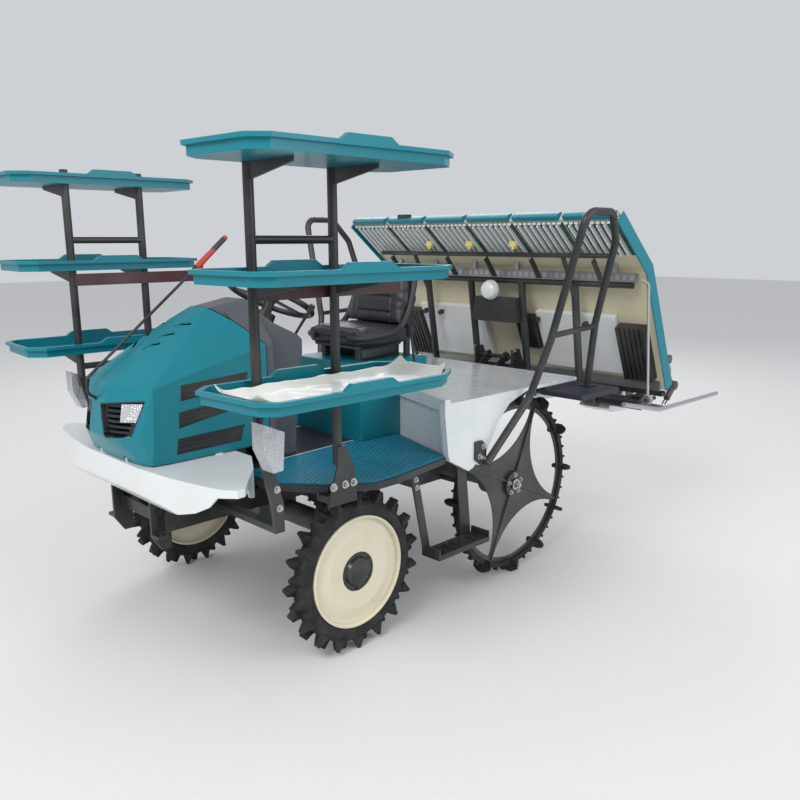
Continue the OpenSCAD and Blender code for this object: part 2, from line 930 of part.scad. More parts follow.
handrail_pts = [[716, -338, 640], [745, -81, 900], [805, -15, 1162], [948, 8, 1714], [950, 205, 1714],
    [915, 300, 1590], [800, 350, 1211], [775, 345, 909]];

module handrails() {
    color("#17181a")
    in_place()
    both() {
        tube(handrail_pts, 34, 60);
        rod([808, -10, 1180], [796, 350, 1196], 26);
        box(745, 805, 315, 375, 905, 912);
        side_plate(fender_x1, 10, [[-395, 664], [-345, 622], [-322, 640], [-322, 716], [-350, 744], [-395, 744]]);
    }
}

// Racks for spare seedling mats

module rack_posts() {
    color("#17181a")
    in_place()
    both() {
        bar_z(rack_x, rack_front_y, 960, rack_top, 34);
        bar_z(rack_x, rack_rear_y, 800, rack_top, 34);
        for (z = [rack_z - 60, rack_z + rack_step + 130])
            rod([rack_x, rack_front_y, z], [rack_x, rack_rear_y, z], 28);
        // foot of the rear post: a gusset bolted to the footboard's edge
        difference() {
            side_plate(rack_x + 14, 10, [[-1230, 652], [-1090, 652], [-1105, 790], [-1140, 870], [-1180, 870],
                [-1180, 800]]);
            for (y = [-1205, -1150, -1110])
                bar_x(rack_x, rack_x + 60, y, 725, 13);
        }
        box(rack_x - 80, rack_x + 24, -1200, -1110, 652, floor_z - 34);
        // foot of the front post: a flat bar down to the frame
        side_plate(rack_x - 22, 12, [[-1520, 1000], [-1480, 1000], [-1400, 700], [-1400, rail_z + 80], [-1440, rail_z + 80],
            [-1450, 700]]);
        box(150, rack_x - 10, -1440, -1400, rail_z + 80, rail_z + 104);
        // arms under the trays
        for (k = [0 : 2], y = [rack_front_y, rack_rear_y])
            side_plate_arm(y, rack_z + k * rack_step);
    }
}

module side_plate_arm(y, z) {
    front_plate(y - 5, y + 5, [[rack_x, z - 56], [rack_x + 230, z - 14], [rack_x + 230, z], [rack_x, z]]);
}

// Distance of the rack posts from a tray's inner edge: they pass through its floor
rack_inset = 50;
// Outline of a spare tray seen from above, drawn in by d
function tray_outline(d) = let (w = rack_tray_w, l = rack_tray_l, e = d * 0.4)
    [[60 + e, d], [w - 50 - e, 20 + d], [w - d, 75 + e], [w - d, l - 90 - e], [w - 60 - e, l - d],
    [50 + e, l - 8 - d], [d, l - 70 - e], [d, 70 + e]];

// A shallow tray with a wide rim that swells in the middle for the hands
module spare_tray() {
    l = rack_tray_l;
    difference() {
        union() {
            linear_extrude(height = 34)
                polygon(tray_outline(14));
            translate([0, 0, 30])
                linear_extrude(height = 14)
                    polygon(tray_outline(0));
            for (x = [0, rack_tray_w - 18])
                side_plate(x, 18, [[l * 0.36, 40], [l * 0.64, 40], [l * 0.6, 64], [l * 0.4, 64]]);
        }
        translate([0, 0, 6])
            linear_extrude(height = 90)
                polygon(tray_outline(20));
        for (y = [rack_front_y, rack_rear_y])
            bar_z(rack_inset, y - rack_mid_y + l / 2, -10, 90, 36);
    }
}

module spare_trays() {
    color("teal")
    in_place()
    both()
        for (k = [0 : 2])
            translate([rack_x - rack_inset, rack_mid_y - rack_tray_l / 2, rack_z + k * rack_step])
                spare_tray();
}

module rack_guards() {
    color("#4a1620")
    in_place()
    both()
        box(rack_x - 23.3, rack_x - 17.3, rack_front_y, -820, rack_z + rack_step - 66, rack_z + rack_step - 14);
}

module side_lamps() {
    color("silver")
    in_place()
    both() {
        side_plate(rack_x + 17.3, 62, [[-1538, 1022], [-1538, 931], [-1502, 852], [-1462, 854], [-1452, 983]]);
        box(rack_x - 10, rack_x + 20, -1490, -1464, 862, 890);
    }
}

// Lift

module lower_link() {
    color("#202224")
    in_place()
    translate([0, pin_y, pin_z])
    rotate([link_up, 0, 0]) {
        both()
            difference() {
                union() {
                    box(100, 114, -30, link_l + 30, -24, 24);
                    bar_x(100, 120, link_l, 0, 60);
                    bar_x(100, 120, 0, 0, 60);
                }
                bar_x(90, 130, link_l, 0, pin_d + 0.6);
            }
        bar_x(-110, 110, 330, 0, 40);
        // horn that the cylinder pulls, with a slot for its pin
        rotate([horn_a, 0, 0])
        difference() {
            side_plate(-112, 10, [[-20, -24], [horn_r + 30, -22], [horn_r + 30, 22], [-20, 24]]);
            bar_x(-120, -90, horn_r, 0, slot_w);
            bar_x(-120, -90, horn_r * cos(link_range / 2), 0, slot_w);
            box(-120, -90, horn_r * cos(link_range / 2), horn_r, -slot_w / 2, slot_w / 2);
        }
        bar_x(-120, 120, 0, 0, pin_d);
    }
}

module upper_link() {
    color("#202224")
    in_place()
    translate([0, pin_y, pin_z + pin_rise])
    rotate([link_up, 0, 0]) {
        both()
        difference() {
            union() {
                box(54, 68, -24, link_l + 24, -20, 20);
                bar_x(54, 74, 0, 0, 52);
                bar_x(54, 74, link_l, 0, 52);
            }
            bar_x(40, 90, link_l, 0, pin_d + 0.6);
        }
        bar_x(-60, 60, 260, 0, 34);
        bar_x(-108, 108, 0, 0, pin_d);
    }
}

cyl_z = pin_z + horn_r * sin(link_up + horn_a);
cyl_x = -126;
eye_y = pin_y + horn_r * cos(link_up + horn_a);

module lift_cylinder() {
    color("#202224")
    in_place()
    difference() {
        union() {
            translate([cyl_x, cyl_front_y, cyl_z])
                rotate([-90, 0, 0])
                    cylinder(d = 44, h = -74 - cyl_front_y);
            box(cyl_x - 22, cyl_x + 30, cyl_front_y, cyl_front_y + 12, cyl_z - 26, cyl_z + 26);
        }
        translate([cyl_x, cyl_front_y + 40, cyl_z])
            rotate([-90, 0, 0])
                cylinder(d = 22.6, h = 400);
    }
}

module lift_rod() {
    color("silver")
    in_place() {
        translate([cyl_x, -380, cyl_z])
            rotate([-90, 0, 0])
                cylinder(d = 22, h = eye_y + 380 - 8);
        bar_x(cyl_x - 12, cyl_x + 12, eye_y, cyl_z, 38);
        bar_x(cyl_x, -100, eye_y, cyl_z, 20);
    }
}

// Planting unit

pipe_y = unit_y + 70;
pipe_z = unit_z + 24;

module planting_frame() {
    color("#202224")
    in_unit() {
        // pipe across the unit with the hitch plates
        bar_x(-pipe_end, pipe_end, pipe_y, pipe_z, pipe_d);
        both()
            side_plate(126, 12, [[unit_y - 34, unit_z - 34], [unit_y + 90, unit_z - 34], [unit_y + 90, unit_z + 120],
                [unit_y + 30, unit_z + 240], [unit_y - 34, unit_z + 240]]);
        bar_x(-140, 140, unit_y, unit_z, pin_d);
        bar_x(-140, 140, unit_y, unit_z + pin_rise, pin_d);
        bar_x(-130, 130, unit_y + 66, unit_z + 120, 40);
        // posts up to the bar that carries the tray, and the brace above it
        for (x = [-520, -180, 180, 520])
            rod([x, pipe_y, pipe_z], [x, rest_y, rest_z], 40);
        bar_x(-tray_hw + 60, tray_hw - 60, rest_y, rest_z, rest_d);
        for (x = [-520, 520])
            rod([x, rest_y + 15, rest_z - 90], [x, 470, 1520], 24);
        bar_x(-tray_hw + 120, tray_hw - 120, 470, 1520, 24);
        // plate between the middle posts with the tray's drive and the lamp's stalk
        box(-180, 180, 602, 614, 1150, 1280);
        box(-112, 175, 545, 604, 1150, 1285);
        box(2, 26, 540, 560, 1280, 1340);
        // pins for the line markers
        both() {
            translate([marker_x, marker_pin_y + 70, marker_pin_z])
                rotate([90, 0, 0])
                    cylinder(d = 20, h = 92);
            bar_x(pipe_end - 40, marker_x, marker_pin_y + 50, marker_pin_z, 20);
        }
        // lower slide rail under the tray's lower edge, on arms from the pipe
        box(-tray_hw + 20, tray_hw - 20, low_y - 28, low_y + 10, slide_z - 14, slide_z);
        box(-tray_hw + 20, tray_hw - 20, low_y - 28, low_y - 20, slide_z - 4, slide_z + 12);
        box(-tray_hw + 20, tray_hw - 20, low_y + 4, low_y + 10, slide_z - 4, slide_z + 12);
        for (x = [-780, -300, 300, 780])
            box(x - 16, x + 16, pipe_y, low_y - 22, slide_z - 24, slide_z - 8);
    }
}

case_x = [-2 * row, 0, 2 * row];

module planting_cases() {
    color("#3a3d40")
    in_unit()
    for (x = case_x)
    difference() {
        union() {
            side_plate(x - 34, 68, [[pipe_y - 50, pipe_z - 26], [pipe_y - 26, pipe_z - 46], [pipe_y + 14, pipe_z - 46],
                [pipe_y + 24, 746], [rotor_y - 120, 746], [rotor_y - 10, 790], [rotor_y + 34, 830],
                [rotor_y + 46, rotor_z], [rotor_y + 20, rotor_z + 44], [rotor_y - 30, rotor_z + 40],
                [rotor_y - 60, rotor_z - 30], [rotor_y - 120, 788], [pipe_y + 60, 790], [pipe_y + 40, pipe_z + 40],
                [pipe_y - 20, pipe_z + 50], [pipe_y - 50, pipe_z + 26]]);
            bar_x(x - 88, x + 88, rotor_y, rotor_z, 46);
        }
        bar_x(x - 40, x + 40, pipe_y, pipe_z, pipe_d + 0.6);
        for (a = [-100, 60])
            bar_x(x + a, x + a + 40, rotor_y, rotor_z, 28.6);
        bar_x(x - 40, x + 40, float_pin_y, float_pin_z, 14.6);
    }
}

module rotor_case() {
    difference() {
        union() {
            for (s = [-1, 1])
                bar_x(-24, 24, s * rotor_e, 0, 70);
            box(-22, 22, -rotor_e, rotor_e, -33, 33);
            bar_x(-26, 26, 0, 0, 84);
        }
        for (s = [-1, 1])
            bar_x(-40, 40, s * rotor_e, 0, 22);
    }
}

row_x = [for (i = [0 : rows - 1]) (i - (rows - 1) / 2) * row];
// Each planting case drives one rotor on either side; the arms sit on the far side
case_side = [for (i = [0 : rows - 1]) i % 2 == 0 ? 1 : -1];

module rotors() {
    color("#b9bcc0")
    in_unit()
    for (i = [0 : rows - 1])
        translate([row_x[i], rotor_y, rotor_z])
        rotate([-60, 0, 0]) {
            rotor_case();
            bar_x(case_side[i] > 0 ? 0 : -86, case_side[i] > 0 ? 86 : 0, 0, 0, 28);
        }
}

// Arm with its two needle claws, hanging from a pin at its origin
module arm() {
    bar_x(-24, 56, 0, 0, 21.4);
    bar_x(32, 58, 0, 0, 50);
    rotate([arm_a, 0, 0]) {
        box(34, 54, -96, 0, -18, 16);
        box(30, 58, -100, -84, -14, 10);
        for (x = [34, 50])
            translate([x, -arm_l, -7])
                cube([4, 60, 8]);
        box(32, 56, -104, -96, -10, 6);
    }
}

module arms(s) {
    a = -60;
    color("#6d7174")
    in_unit()
    for (i = [0 : rows - 1])
        translate([row_x[i], rotor_y + s * rotor_e * cos(a), rotor_z + s * rotor_e * sin(a)])
            mirror([case_side[i] > 0 ? 1 : 0, 0, 0])
                arm();
}

module arms_a() {
    arms(1);
}

module arms_b() {
    arms(-1);
}

// A float in the side view; wide fronts, narrow between the planting arms
module float_board(x, w, y0, y1) {
    side_plate(x - w / 2, w, [[y0, 722], [y0 + 60, 697], [y1, 690], [y1 + 6, 700], [y1, 728], [y0 + 60, 734],
        [y0 + 10, 738]]);
}

module floats() {
    color("#d9dcdc")
    in_unit() {
        float_board(0, 420, float_y, rotor_y - 230);
        float_board(0, 180, float_y + 60, rotor_y - 40);
        for (x = [-2 * row, 2 * row])
            float_board(x, 180, float_y - 20, rotor_y - 40);
        for (x = case_x) {
            for (s = [-43.3, 34.3])
                side_plate(x + s, 9, [[float_pin_y - 34, 715], [float_pin_y + 34, 715], [float_pin_y + 14, float_pin_z + 14],
                    [float_pin_y - 14, float_pin_z + 14]]);
            bar_x(x - 46, x + 46, float_pin_y, float_pin_z, 14);
        }
    }
}

module unit_guards() {
    color("silver")
    in_unit()
    both() {
        tube([[guard_x, 300, 852], [guard_x, 650, 775], [guard_x, guard_end_y, 770]], 22, 80);
        bar_x(pipe_end, guard_x, pipe_y, pipe_z, 22);
    }
}

module seedling_tray() {
    color("#e8e2cf")
    in_unit() {
        side_plate(-tray_hw + 6, 2 * tray_hw - 12, band(tray_line, 0, 6));
        for (i = [0 : rows])
            side_plate((i - rows / 2) * row - 3 + (i == 0 ? 12 : i == rows ? -12 : 0), 6, band(tray_line, 5, 40));
    }
}

module tray_edges() {
    u = unit(tray_line[1] - tray_line[0]);
    n = left_of(u);
    cap = [[-0.1, -8], [-0.1, 40], [-10, 42], [-27, 14], [-30, -8]];
    color("teal")
    in_unit() {
        both()
            side_plate(tray_hw - 5.9, 8, band(tray_line, -24, 44));
        for (x = row_x)
            side_plate(x - row / 2 + 14, row - 28, [for (c = cap) tray_line[0] + c[0] * u + c[1] * n]);
    }
}

module tray_slats() {
    color("white")
    in_unit()
    for (x = row_x)
        for (k = [-3 : 3])
            side_plate(x + k * 38 - 5, 10, band([on_tray(352), on_tray(523)], -20, -0.1));
}

module tray_panels() {
    color("white")
    in_unit()
    both()
        side_plate(195, 500, band([on_tray(730), on_tray(876)], -34, -0.1));
}

module tray_belts() {
    color("#141516")
    in_unit()
    for (x = row_x)
        side_plate(x - 40, 80, band([on_tray(760), on_tray(860)], 6.1, 14));
}

// Ribbed covers of the belt drives under the tray
module feed_covers() {
    color("#17181a")
    in_unit() {
        for (c = [[64, 126, 746, 827], [700, 160, 751, 882], [-860, 160, 751, 882]])
            difference() {
                side_plate(c[0], c[1], band([on_tray(c[2]), on_tray(c[3])], -60, -0.1));
                for (i = [1 : 5])
                    side_plate(c[0] + i * c[1] / 6 - 5, 10, band([on_tray(c[2] - 20), on_tray(c[3] + 20)], -80, -48));
            }
    }
}

// White lamp cap on the stalk in the middle of the unit
module centre_lamp() {
    color("white")
    in_unit()
    translate([14, 539.7, 1326])
    rotate([90, 0, 0])
    rotate_extrude()
        polygon([[0, 0], [54, 0], [54, 18], [46, 40], [26, 52], [0, 56]]);
}

// Rails under the tray: the upper one runs on the frame's bar, the lower one in the slide rail
module tray_rails() {
    color("silver")
    in_unit() {
        box(-tray_hw + 40, tray_hw - 40, rest_y - 11, rest_y + 11, rail_low, rail_low + 46);
        for (x = row_x)
            side_plate(x - 12, 24, [[rest_y - 9, rail_low + 40], [rest_y + 9, rail_low + 40],
                on_tray(rest_y + 9) - [0, 0.2], on_tray(rest_y - 9) - [0, 0.2]]);
        side_plate(-tray_hw + 40, 2 * tray_hw - 80, [[low_y - 16, slide_z + 0.3], [low_y - 0.2, slide_z + 0.3],
            [low_y - 0.2, tray_low_z], on_tray(low_y - 16) - [0.2, 0]]);
    }
}

// Line markers folded up at the ends of the unit, each on a pin that points to the rear
marker_x = tray_hw + 34;
marker_pin_y = pipe_y - 60;
marker_pin_z = pipe_z + 40;

module marker() {
    difference() {
        translate([marker_x, marker_pin_y + 14, marker_pin_z])
            rotate([90, 0, 0])
                cylinder(d = 46, h = 28);
        translate([marker_x, marker_pin_y + 40, marker_pin_z])
            rotate([90, 0, 0])
                cylinder(d = 20.6, h = 80);
    }
    tube([[marker_x, marker_pin_y, marker_pin_z + 16], [marker_x, marker_pin_y - 60, 1390],
        [marker_x, marker_pin_y - 130, 1412]], 14, 30);
}

module marker_left() {
    color("silver")
    in_unit()
        marker();
}

module marker_right() {
    color("silver")
    in_unit()
    mirror([1, 0, 0])
        marker();
}

// Parts to draw

chassis_frame();
engine_block();
front_axle();
rear_axle();
bumper();
dash_cowl();
steering_column();
control_levers();
footboard();
footboard_mats();
inner_mats();
side_steps();
seat_base();
seat_cushion();
seat_back();
rear_deck();
rear_steps();
handrails();
rack_posts();
spare_trays();
rack_guards();
side_lamps();
hood();
hood_grilles();
headlamps();
centre_marker();
steering_wheel();
knuckle_left();
knuckle_right();
front_tyre_left();
front_tyre_right();
front_disc_left();
front_disc_right();
front_hub_left();
front_hub_right();
rear_web_left();
rear_web_right();
rear_paddles_left();
rear_paddles_right();
lower_link();
upper_link();
lift_cylinder();
lift_rod();
planting_frame();
planting_cases();
floats();
unit_guards();
seedling_tray();
tray_edges();
tray_slats();
tray_panels();
tray_belts();
tray_rails();
feed_covers();
centre_lamp();
rotors();
arms_a();
arms_b();
marker_left();
marker_right();
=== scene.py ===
import math
from math import cos, pi, radians, sin

import bmesh
import bpy
from mathutils import Matrix, Vector


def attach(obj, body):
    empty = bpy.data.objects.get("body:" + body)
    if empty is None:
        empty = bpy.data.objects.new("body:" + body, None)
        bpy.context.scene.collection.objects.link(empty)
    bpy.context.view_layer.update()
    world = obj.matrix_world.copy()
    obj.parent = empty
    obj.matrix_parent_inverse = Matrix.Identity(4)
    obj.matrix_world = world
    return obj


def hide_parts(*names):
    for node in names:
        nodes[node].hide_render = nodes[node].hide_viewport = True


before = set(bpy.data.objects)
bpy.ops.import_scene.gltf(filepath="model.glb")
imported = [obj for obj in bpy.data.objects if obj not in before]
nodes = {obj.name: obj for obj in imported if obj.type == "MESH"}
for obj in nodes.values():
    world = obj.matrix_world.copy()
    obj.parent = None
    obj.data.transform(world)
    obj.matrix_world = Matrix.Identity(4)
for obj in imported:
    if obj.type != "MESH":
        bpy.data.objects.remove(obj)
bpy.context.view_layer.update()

scene = bpy.context.scene

# Floor, light and camera
# The machine stands on a plain pale studio floor under broad soft lamps.
# The camera stands ahead of the machine's left front corner, at about a person's eye height.


def stage_material(name, colour, seen):
    # the floor's pale tone drifts a little between two greys in soft patches
    mat = bpy.data.materials.new(name)
    mat.use_nodes = True
    tree = mat.node_tree
    shader = tree.nodes["Principled BSDF"]
    shader.inputs["Roughness"].default_value = 0.85
    shader.inputs["Specular IOR Level"].default_value = 0.2
    grain = tree.nodes.new("ShaderNodeTexNoise")
    grain.inputs["Scale"].default_value = 3.0
    tone = tree.nodes.new("ShaderNodeMix")
    tone.data_type = "RGBA"
    tone.inputs["A"].default_value = (*colour, 1)
    tone.inputs["B"].default_value = (*seen, 1)
    tree.links.new(grain.outputs["Fac"], tone.inputs["Factor"])
    tree.links.new(tone.outputs["Result"], shader.inputs["Base Color"])
    return mat


bpy.ops.mesh.primitive_plane_add(size=60, location=(0, 0, 0))
studio_floor = bpy.context.object
studio_floor.name = "studio_floor"
studio_floor.data.materials.append(stage_material("pale_floor", (0.74, 0.74, 0.73), (0.8, 0.8, 0.79)))

world = bpy.data.worlds.new("studio_air")
scene.world = world
world.use_nodes = True
air = world.node_tree.nodes["Background"]
air.inputs["Color"].default_value = (0.93, 0.96, 1.0, 1)
air.inputs["Strength"].default_value = 0.66
scene.view_settings.view_transform = "Standard"


def soft_lamp(name, place, aim, size, watts, colour):
    data = bpy.data.lights.new(name, "AREA")
    data.size = size
    data.energy = watts
    data.color = colour
    lamp = bpy.data.objects.new(name, data)
    scene.collection.objects.link(lamp)
    lamp.location = place
    lamp.rotation_mode = "QUATERNION"
    lamp.rotation_quaternion = (Vector(aim) - Vector(place)).to_track_quat("-Z", "Y")


soft_lamp("key_lamp", (2.2, -6.2, 5.6), (0.2, -0.2, 0.7), 3.4, 330, (1.0, 0.985, 0.96))
soft_lamp("side_lamp", (6.4, 1.2, 3.6), (0, 0, 0.8), 4.2, 150, (0.95, 0.98, 1.0))
soft_lamp("back_lamp", (-4.6, 4.8, 4.8), (0, 0, 0.9), 3.6, 150, (1.0, 1.0, 1.0))

camera_data = bpy.data.cameras.new("camera")
camera = bpy.data.objects.new("camera", camera_data)
scene.collection.objects.link(camera)
scene.camera = camera
camera_data.sensor_width = 36
camera_data.lens = 35.75
camera_data.shift_y = 0.02
camera_place = Vector((2.841, -2.7155, 1.599))
view_azimuth, view_drop, view_roll = radians(45.47), radians(12.52), radians(-0.15)
view_line = Vector((-sin(view_azimuth) * cos(view_drop), cos(view_azimuth) * cos(view_drop), -sin(view_drop)))
camera.location = camera_place
camera.rotation_mode = "QUATERNION"
roll = Matrix.Rotation(view_roll, 4, "Z").to_quaternion()
camera.rotation_quaternion = view_line.to_track_quat("-Z", "Y") @ roll

# Frame rails, links and brackets
# Welded steel sections and plates with satin black paint, bolted together under the body.
# The paint has a fine orange peel, some dust on it, and lighter sharp edges all round: partly rubbed paint,
# partly a painted highlight.


def shader_group(name, ins, outs):
    group = bpy.data.node_groups.new(name, "ShaderNodeTree")
    for label, kind, value in ins:
        group.interface.new_socket(label, in_out="INPUT", socket_type=kind).default_value = value
    for label, kind in outs:
        group.interface.new_socket(label, in_out="OUTPUT", socket_type=kind)
    return group, group.nodes.new("NodeGroupInput"), group.nodes.new("NodeGroupOutput")


COLOUR, VALUE = "NodeSocketColor", "NodeSocketFloat"


def surface_tone_group():
    # a base colour that drifts to a dusty one in soft patches, with a roughness that follows
    group, inp, out = shader_group(
        "surface_tone",
        [("Colour", COLOUR, (0.5, 0.5, 0.5, 1)), ("Dust", COLOUR, (0.4, 0.38, 0.34, 1)),
         ("Scale", VALUE, 3.0), ("Amount", VALUE, 0.2), ("Roughness", VALUE, 0.4)],
        [("Colour", COLOUR), ("Roughness", VALUE)])
    place = group.nodes.new("ShaderNodeTexCoord")
    patches = group.nodes.new("ShaderNodeTexNoise")
    patches.inputs["Detail"].default_value = 6.0
    patches.inputs["Roughness"].default_value = 0.62
    spread = group.nodes.new("ShaderNodeMapRange")
    spread.inputs["From Min"].default_value = 0.42
    spread.inputs["From Max"].default_value = 0.78
    share = group.nodes.new("ShaderNodeMath")
    share.operation = "MULTIPLY"
    blend = group.nodes.new("ShaderNodeMix")
    blend.data_type = "RGBA"
    rise = group.nodes.new("ShaderNodeMath")
    rise.operation = "MULTIPLY_ADD"
    rise.inputs[1].default_value = 0.45
    link = group.links.new
    link(place.outputs["Object"], patches.inputs["Vector"])
    link(inp.outputs["Scale"], patches.inputs["Scale"])
    link(patches.outputs["Fac"], spread.inputs["Value"])
    link(spread.outputs["Result"], share.inputs[0])
    link(inp.outputs["Amount"], share.inputs[1])
    link(share.outputs[0], blend.inputs["Factor"])
    link(inp.outputs["Colour"], blend.inputs["A"])
    link(inp.outputs["Dust"], blend.inputs["B"])
    link(share.outputs[0], rise.inputs[0])
    link(inp.outputs["Roughness"], rise.inputs[2])
    link(blend.outputs["Result"], out.inputs["Colour"])
    link(rise.outputs[0], out.inputs["Roughness"])
    return group


def fine_relief_group():
    # a small pebbled height for paint, castings and moulded grain
    group, inp, out = shader_group(
        "fine_relief", [("Scale", VALUE, 300.0), ("Sharp", VALUE, 0.5)], [("Height", VALUE)])
    place = group.nodes.new("ShaderNodeTexCoord")
    pebbles = group.nodes.new("ShaderNodeTexNoise")
    pebbles.inputs["Detail"].default_value = 3.0
    link = group.links.new
    link(place.outputs["Object"], pebbles.inputs["Vector"])
    link(inp.outputs["Scale"], pebbles.inputs["Scale"])
    link(inp.outputs["Sharp"], pebbles.inputs["Roughness"])
    link(pebbles.outputs["Fac"], out.inputs["Height"])
    return group


def edge_wear_and_highlight_group():
    # 1 along sharp edges and 0 elsewhere, broken up by a little noise: the mask for edge wear and a painted
    # edge highlight
    group, inp, out = shader_group("edge_wear_and_highlight", [("Radius", VALUE, 0.003)], [("Mask", VALUE)])
    soft = group.nodes.new("ShaderNodeBevel")
    soft.samples = 4
    true = group.nodes.new("ShaderNodeNewGeometry")
    turn = group.nodes.new("ShaderNodeVectorMath")
    turn.operation = "DOT_PRODUCT"
    spread = group.nodes.new("ShaderNodeMapRange")
    spread.inputs["From Min"].default_value = 0.985
    spread.inputs["From Max"].default_value = 0.86
    place = group.nodes.new("ShaderNodeTexCoord")
    chips = group.nodes.new("ShaderNodeTexNoise")
    chips.inputs["Scale"].default_value = 60.0
    chips.inputs["Detail"].default_value = 5.0
    both = group.nodes.new("ShaderNodeMath")
    both.operation = "MULTIPLY"
    link = group.links.new
    link(inp.outputs["Radius"], soft.inputs["Radius"])
    link(soft.outputs["Normal"], turn.inputs[0])
    link(true.outputs["Normal"], turn.inputs[1])
    link(turn.outputs["Value"], spread.inputs["Value"])
    link(place.outputs["Object"], chips.inputs["Vector"])
    link(spread.outputs["Result"], both.inputs[0])
    link(chips.outputs["Fac"], both.inputs[1])
    link(both.outputs[0], out.inputs["Mask"])
    return group


surface_tone = surface_tone_group()
fine_relief = fine_relief_group()
edge_wear_and_highlight = edge_wear_and_highlight_group()


def finish_of(name, colour, rough, dust=(0.36, 0.34, 0.3), amount=0.15, patch=3.0, grain=300.0, depth=0.00015,
              sharp=0.5, metal=0.0, coat=0.0, edge=None, round_edge=0.0, specular=0.5):
    # one finish: its colour with dust on it, a fine relief, and lighter edges, partly wear and partly painted
    # highlight, where they are asked for
    mat = bpy.data.materials.new(name)
    mat.use_nodes = True
    tree = mat.node_tree
    link = tree.links.new
    shader = tree.nodes["Principled BSDF"]
    shader.inputs["Metallic"].default_value = metal
    shader.inputs["Coat Weight"].default_value = coat
    shader.inputs["Coat Roughness"].default_value = 0.08
    shader.inputs["Specular IOR Level"].default_value = specular
    tone = tree.nodes.new("ShaderNodeGroup")
    tone.node_tree = surface_tone
    tone.inputs["Colour"].default_value = (*colour, 1)
    tone.inputs["Dust"].default_value = (*dust, 1)
    tone.inputs["Scale"].default_value = patch
    tone.inputs["Amount"].default_value = amount
    tone.inputs["Roughness"].default_value = rough
    relief = tree.nodes.new("ShaderNodeGroup")
    relief.node_tree = fine_relief
    relief.inputs["Scale"].default_value = grain
    relief.inputs["Sharp"].default_value = sharp
    bump = tree.nodes.new("ShaderNodeBump")
    bump.inputs["Distance"].default_value = depth
    bump.inputs["Strength"].default_value = 1.0
    link(relief.outputs["Height"], bump.inputs["Height"])
    link(bump.outputs["Normal"], shader.inputs["Normal"])
    if round_edge:
        bevel = tree.nodes.new("ShaderNodeBevel")
        bevel.samples = 4
        bevel.inputs["Radius"].default_value = round_edge
        link(bevel.outputs["Normal"], bump.inputs["Normal"])
    link(tone.outputs["Roughness"], shader.inputs["Roughness"])
    if edge is None:
        link(tone.outputs["Colour"], shader.inputs["Base Color"])
        return mat
    # edge colour on every sharp edge: partly wear, partly painted highlight
    wear_and_highlight_edges = tree.nodes.new("ShaderNodeGroup")
    wear_and_highlight_edges.node_tree = edge_wear_and_highlight
    wear_and_highlight_edges.inputs["Radius"].default_value = 0.003
    wear_and_highlight_mix = tree.nodes.new("ShaderNodeMix")
    wear_and_highlight_mix.data_type = "RGBA"
    wear_and_highlight_mix.inputs["B"].default_value = (*edge, 1)
    link(wear_and_highlight_edges.outputs["Mask"], wear_and_highlight_mix.inputs["Factor"])
    link(tone.outputs["Colour"], wear_and_highlight_mix.inputs["A"])
    link(wear_and_highlight_mix.outputs["Result"], shader.inputs["Base Color"])
    return mat


def dress(mat, *names):
    # solids that keep their own mesh and only take a finish
    for name in names:
        nodes[name].data.materials.clear()
        nodes[name].data.materials.append(mat)


black_paint = finish_of("satin_black_paint", (0.016, 0.017, 0.019), 0.38, amount=0.16,
                        edge=(0.12, 0.12, 0.12), round_edge=0.002)
dress(black_paint, "chassis_frame", "footboard", "side_steps", "lower_link", "upper_link", "lift_cylinder",
      "planting_frame", "handrails", "rack_posts", "centre_marker")

# Engine block and castings
# Axle housings, steering knuckles, planting cases and the engine are castings with a rough painted skin.
# They keep the dull grey of the foundry paint, with dust on it in soft patches.
cast_paint = finish_of("painted_casting", (0.05, 0.054, 0.058), 0.55, amount=0.35, patch=9.0, grain=220.0,
                       depth=0.0006, sharp=0.65, round_edge=0.004)
dress(cast_paint, "engine_block", "front_axle", "rear_axle", "knuckle_left", "knuckle_right",
      "planting_cases", "arms_a", "arms_b")

# Bright steel and light alloy
# The lift rod, end guards and line markers are bare or plated steel, the rotor cases cast aluminium.
plated = finish_of("plated_steel", (0.52, 0.53, 0.54), 0.3, metal=1.0, amount=0.2, patch=12.0, grain=500.0,
                   depth=0.0001, round_edge=0.001)
dress(plated, "lift_rod", "unit_guards", "marker_left", "marker_right")
alloy = finish_of("cast_aluminium", (0.48, 0.49, 0.5), 0.42, metal=1.0, amount=0.25, patch=8.0, grain=260.0,
                  depth=0.0005, sharp=0.6, round_edge=0.003)
dress(alloy, "rotors", "tray_rails")

# Screws and nuts
# Zinc-plated hexagon bolts with washers hold the rack feet, the handrails, the bumper's stays
# and the unit's upright. Each rear wheel has a ring of them round its centre nut.
MM = 0.001
AXLE_TO_MIDDLE = 243.45


def at(x, y, z):
    # a place in millimetres, with y counted from the rear axle as in the part's source
    return Vector((x, y + AXLE_TO_MIDDLE, z)) * MM


def piece(name, form, mat, body, smooth=None):
    # a new piece from a bmesh, riding on a body of the frame
    mesh = bpy.data.meshes.new(name)
    bmesh.ops.recalc_face_normals(form, faces=form.faces)
    for face in form.faces:
        face.smooth = smooth is not None
    form.to_mesh(mesh)
    form.free()
    mesh.materials.append(mat)
    made = bpy.data.objects.new(name, mesh)
    scene.collection.objects.link(made)
    if smooth is not None:
        mesh.set_sharp_from_angle(angle=radians(smooth))
    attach(made, body)
    return made


def add_rod(form, start, end, radius, sides=12, radius_end=None):
    # a round bar or cone between two places, closed at both ends
    line = end - start
    last = radius if radius_end is None else radius_end
    made = bmesh.ops.create_cone(form, cap_ends=True, segments=sides, radius1=radius, radius2=last,
                                 depth=line.length)["verts"]
    matrix = Matrix.Translation((start + end) / 2) @ line.to_track_quat("Z", "Y").to_matrix().to_4x4()
    bmesh.ops.transform(form, verts=made, matrix=matrix)
    return made


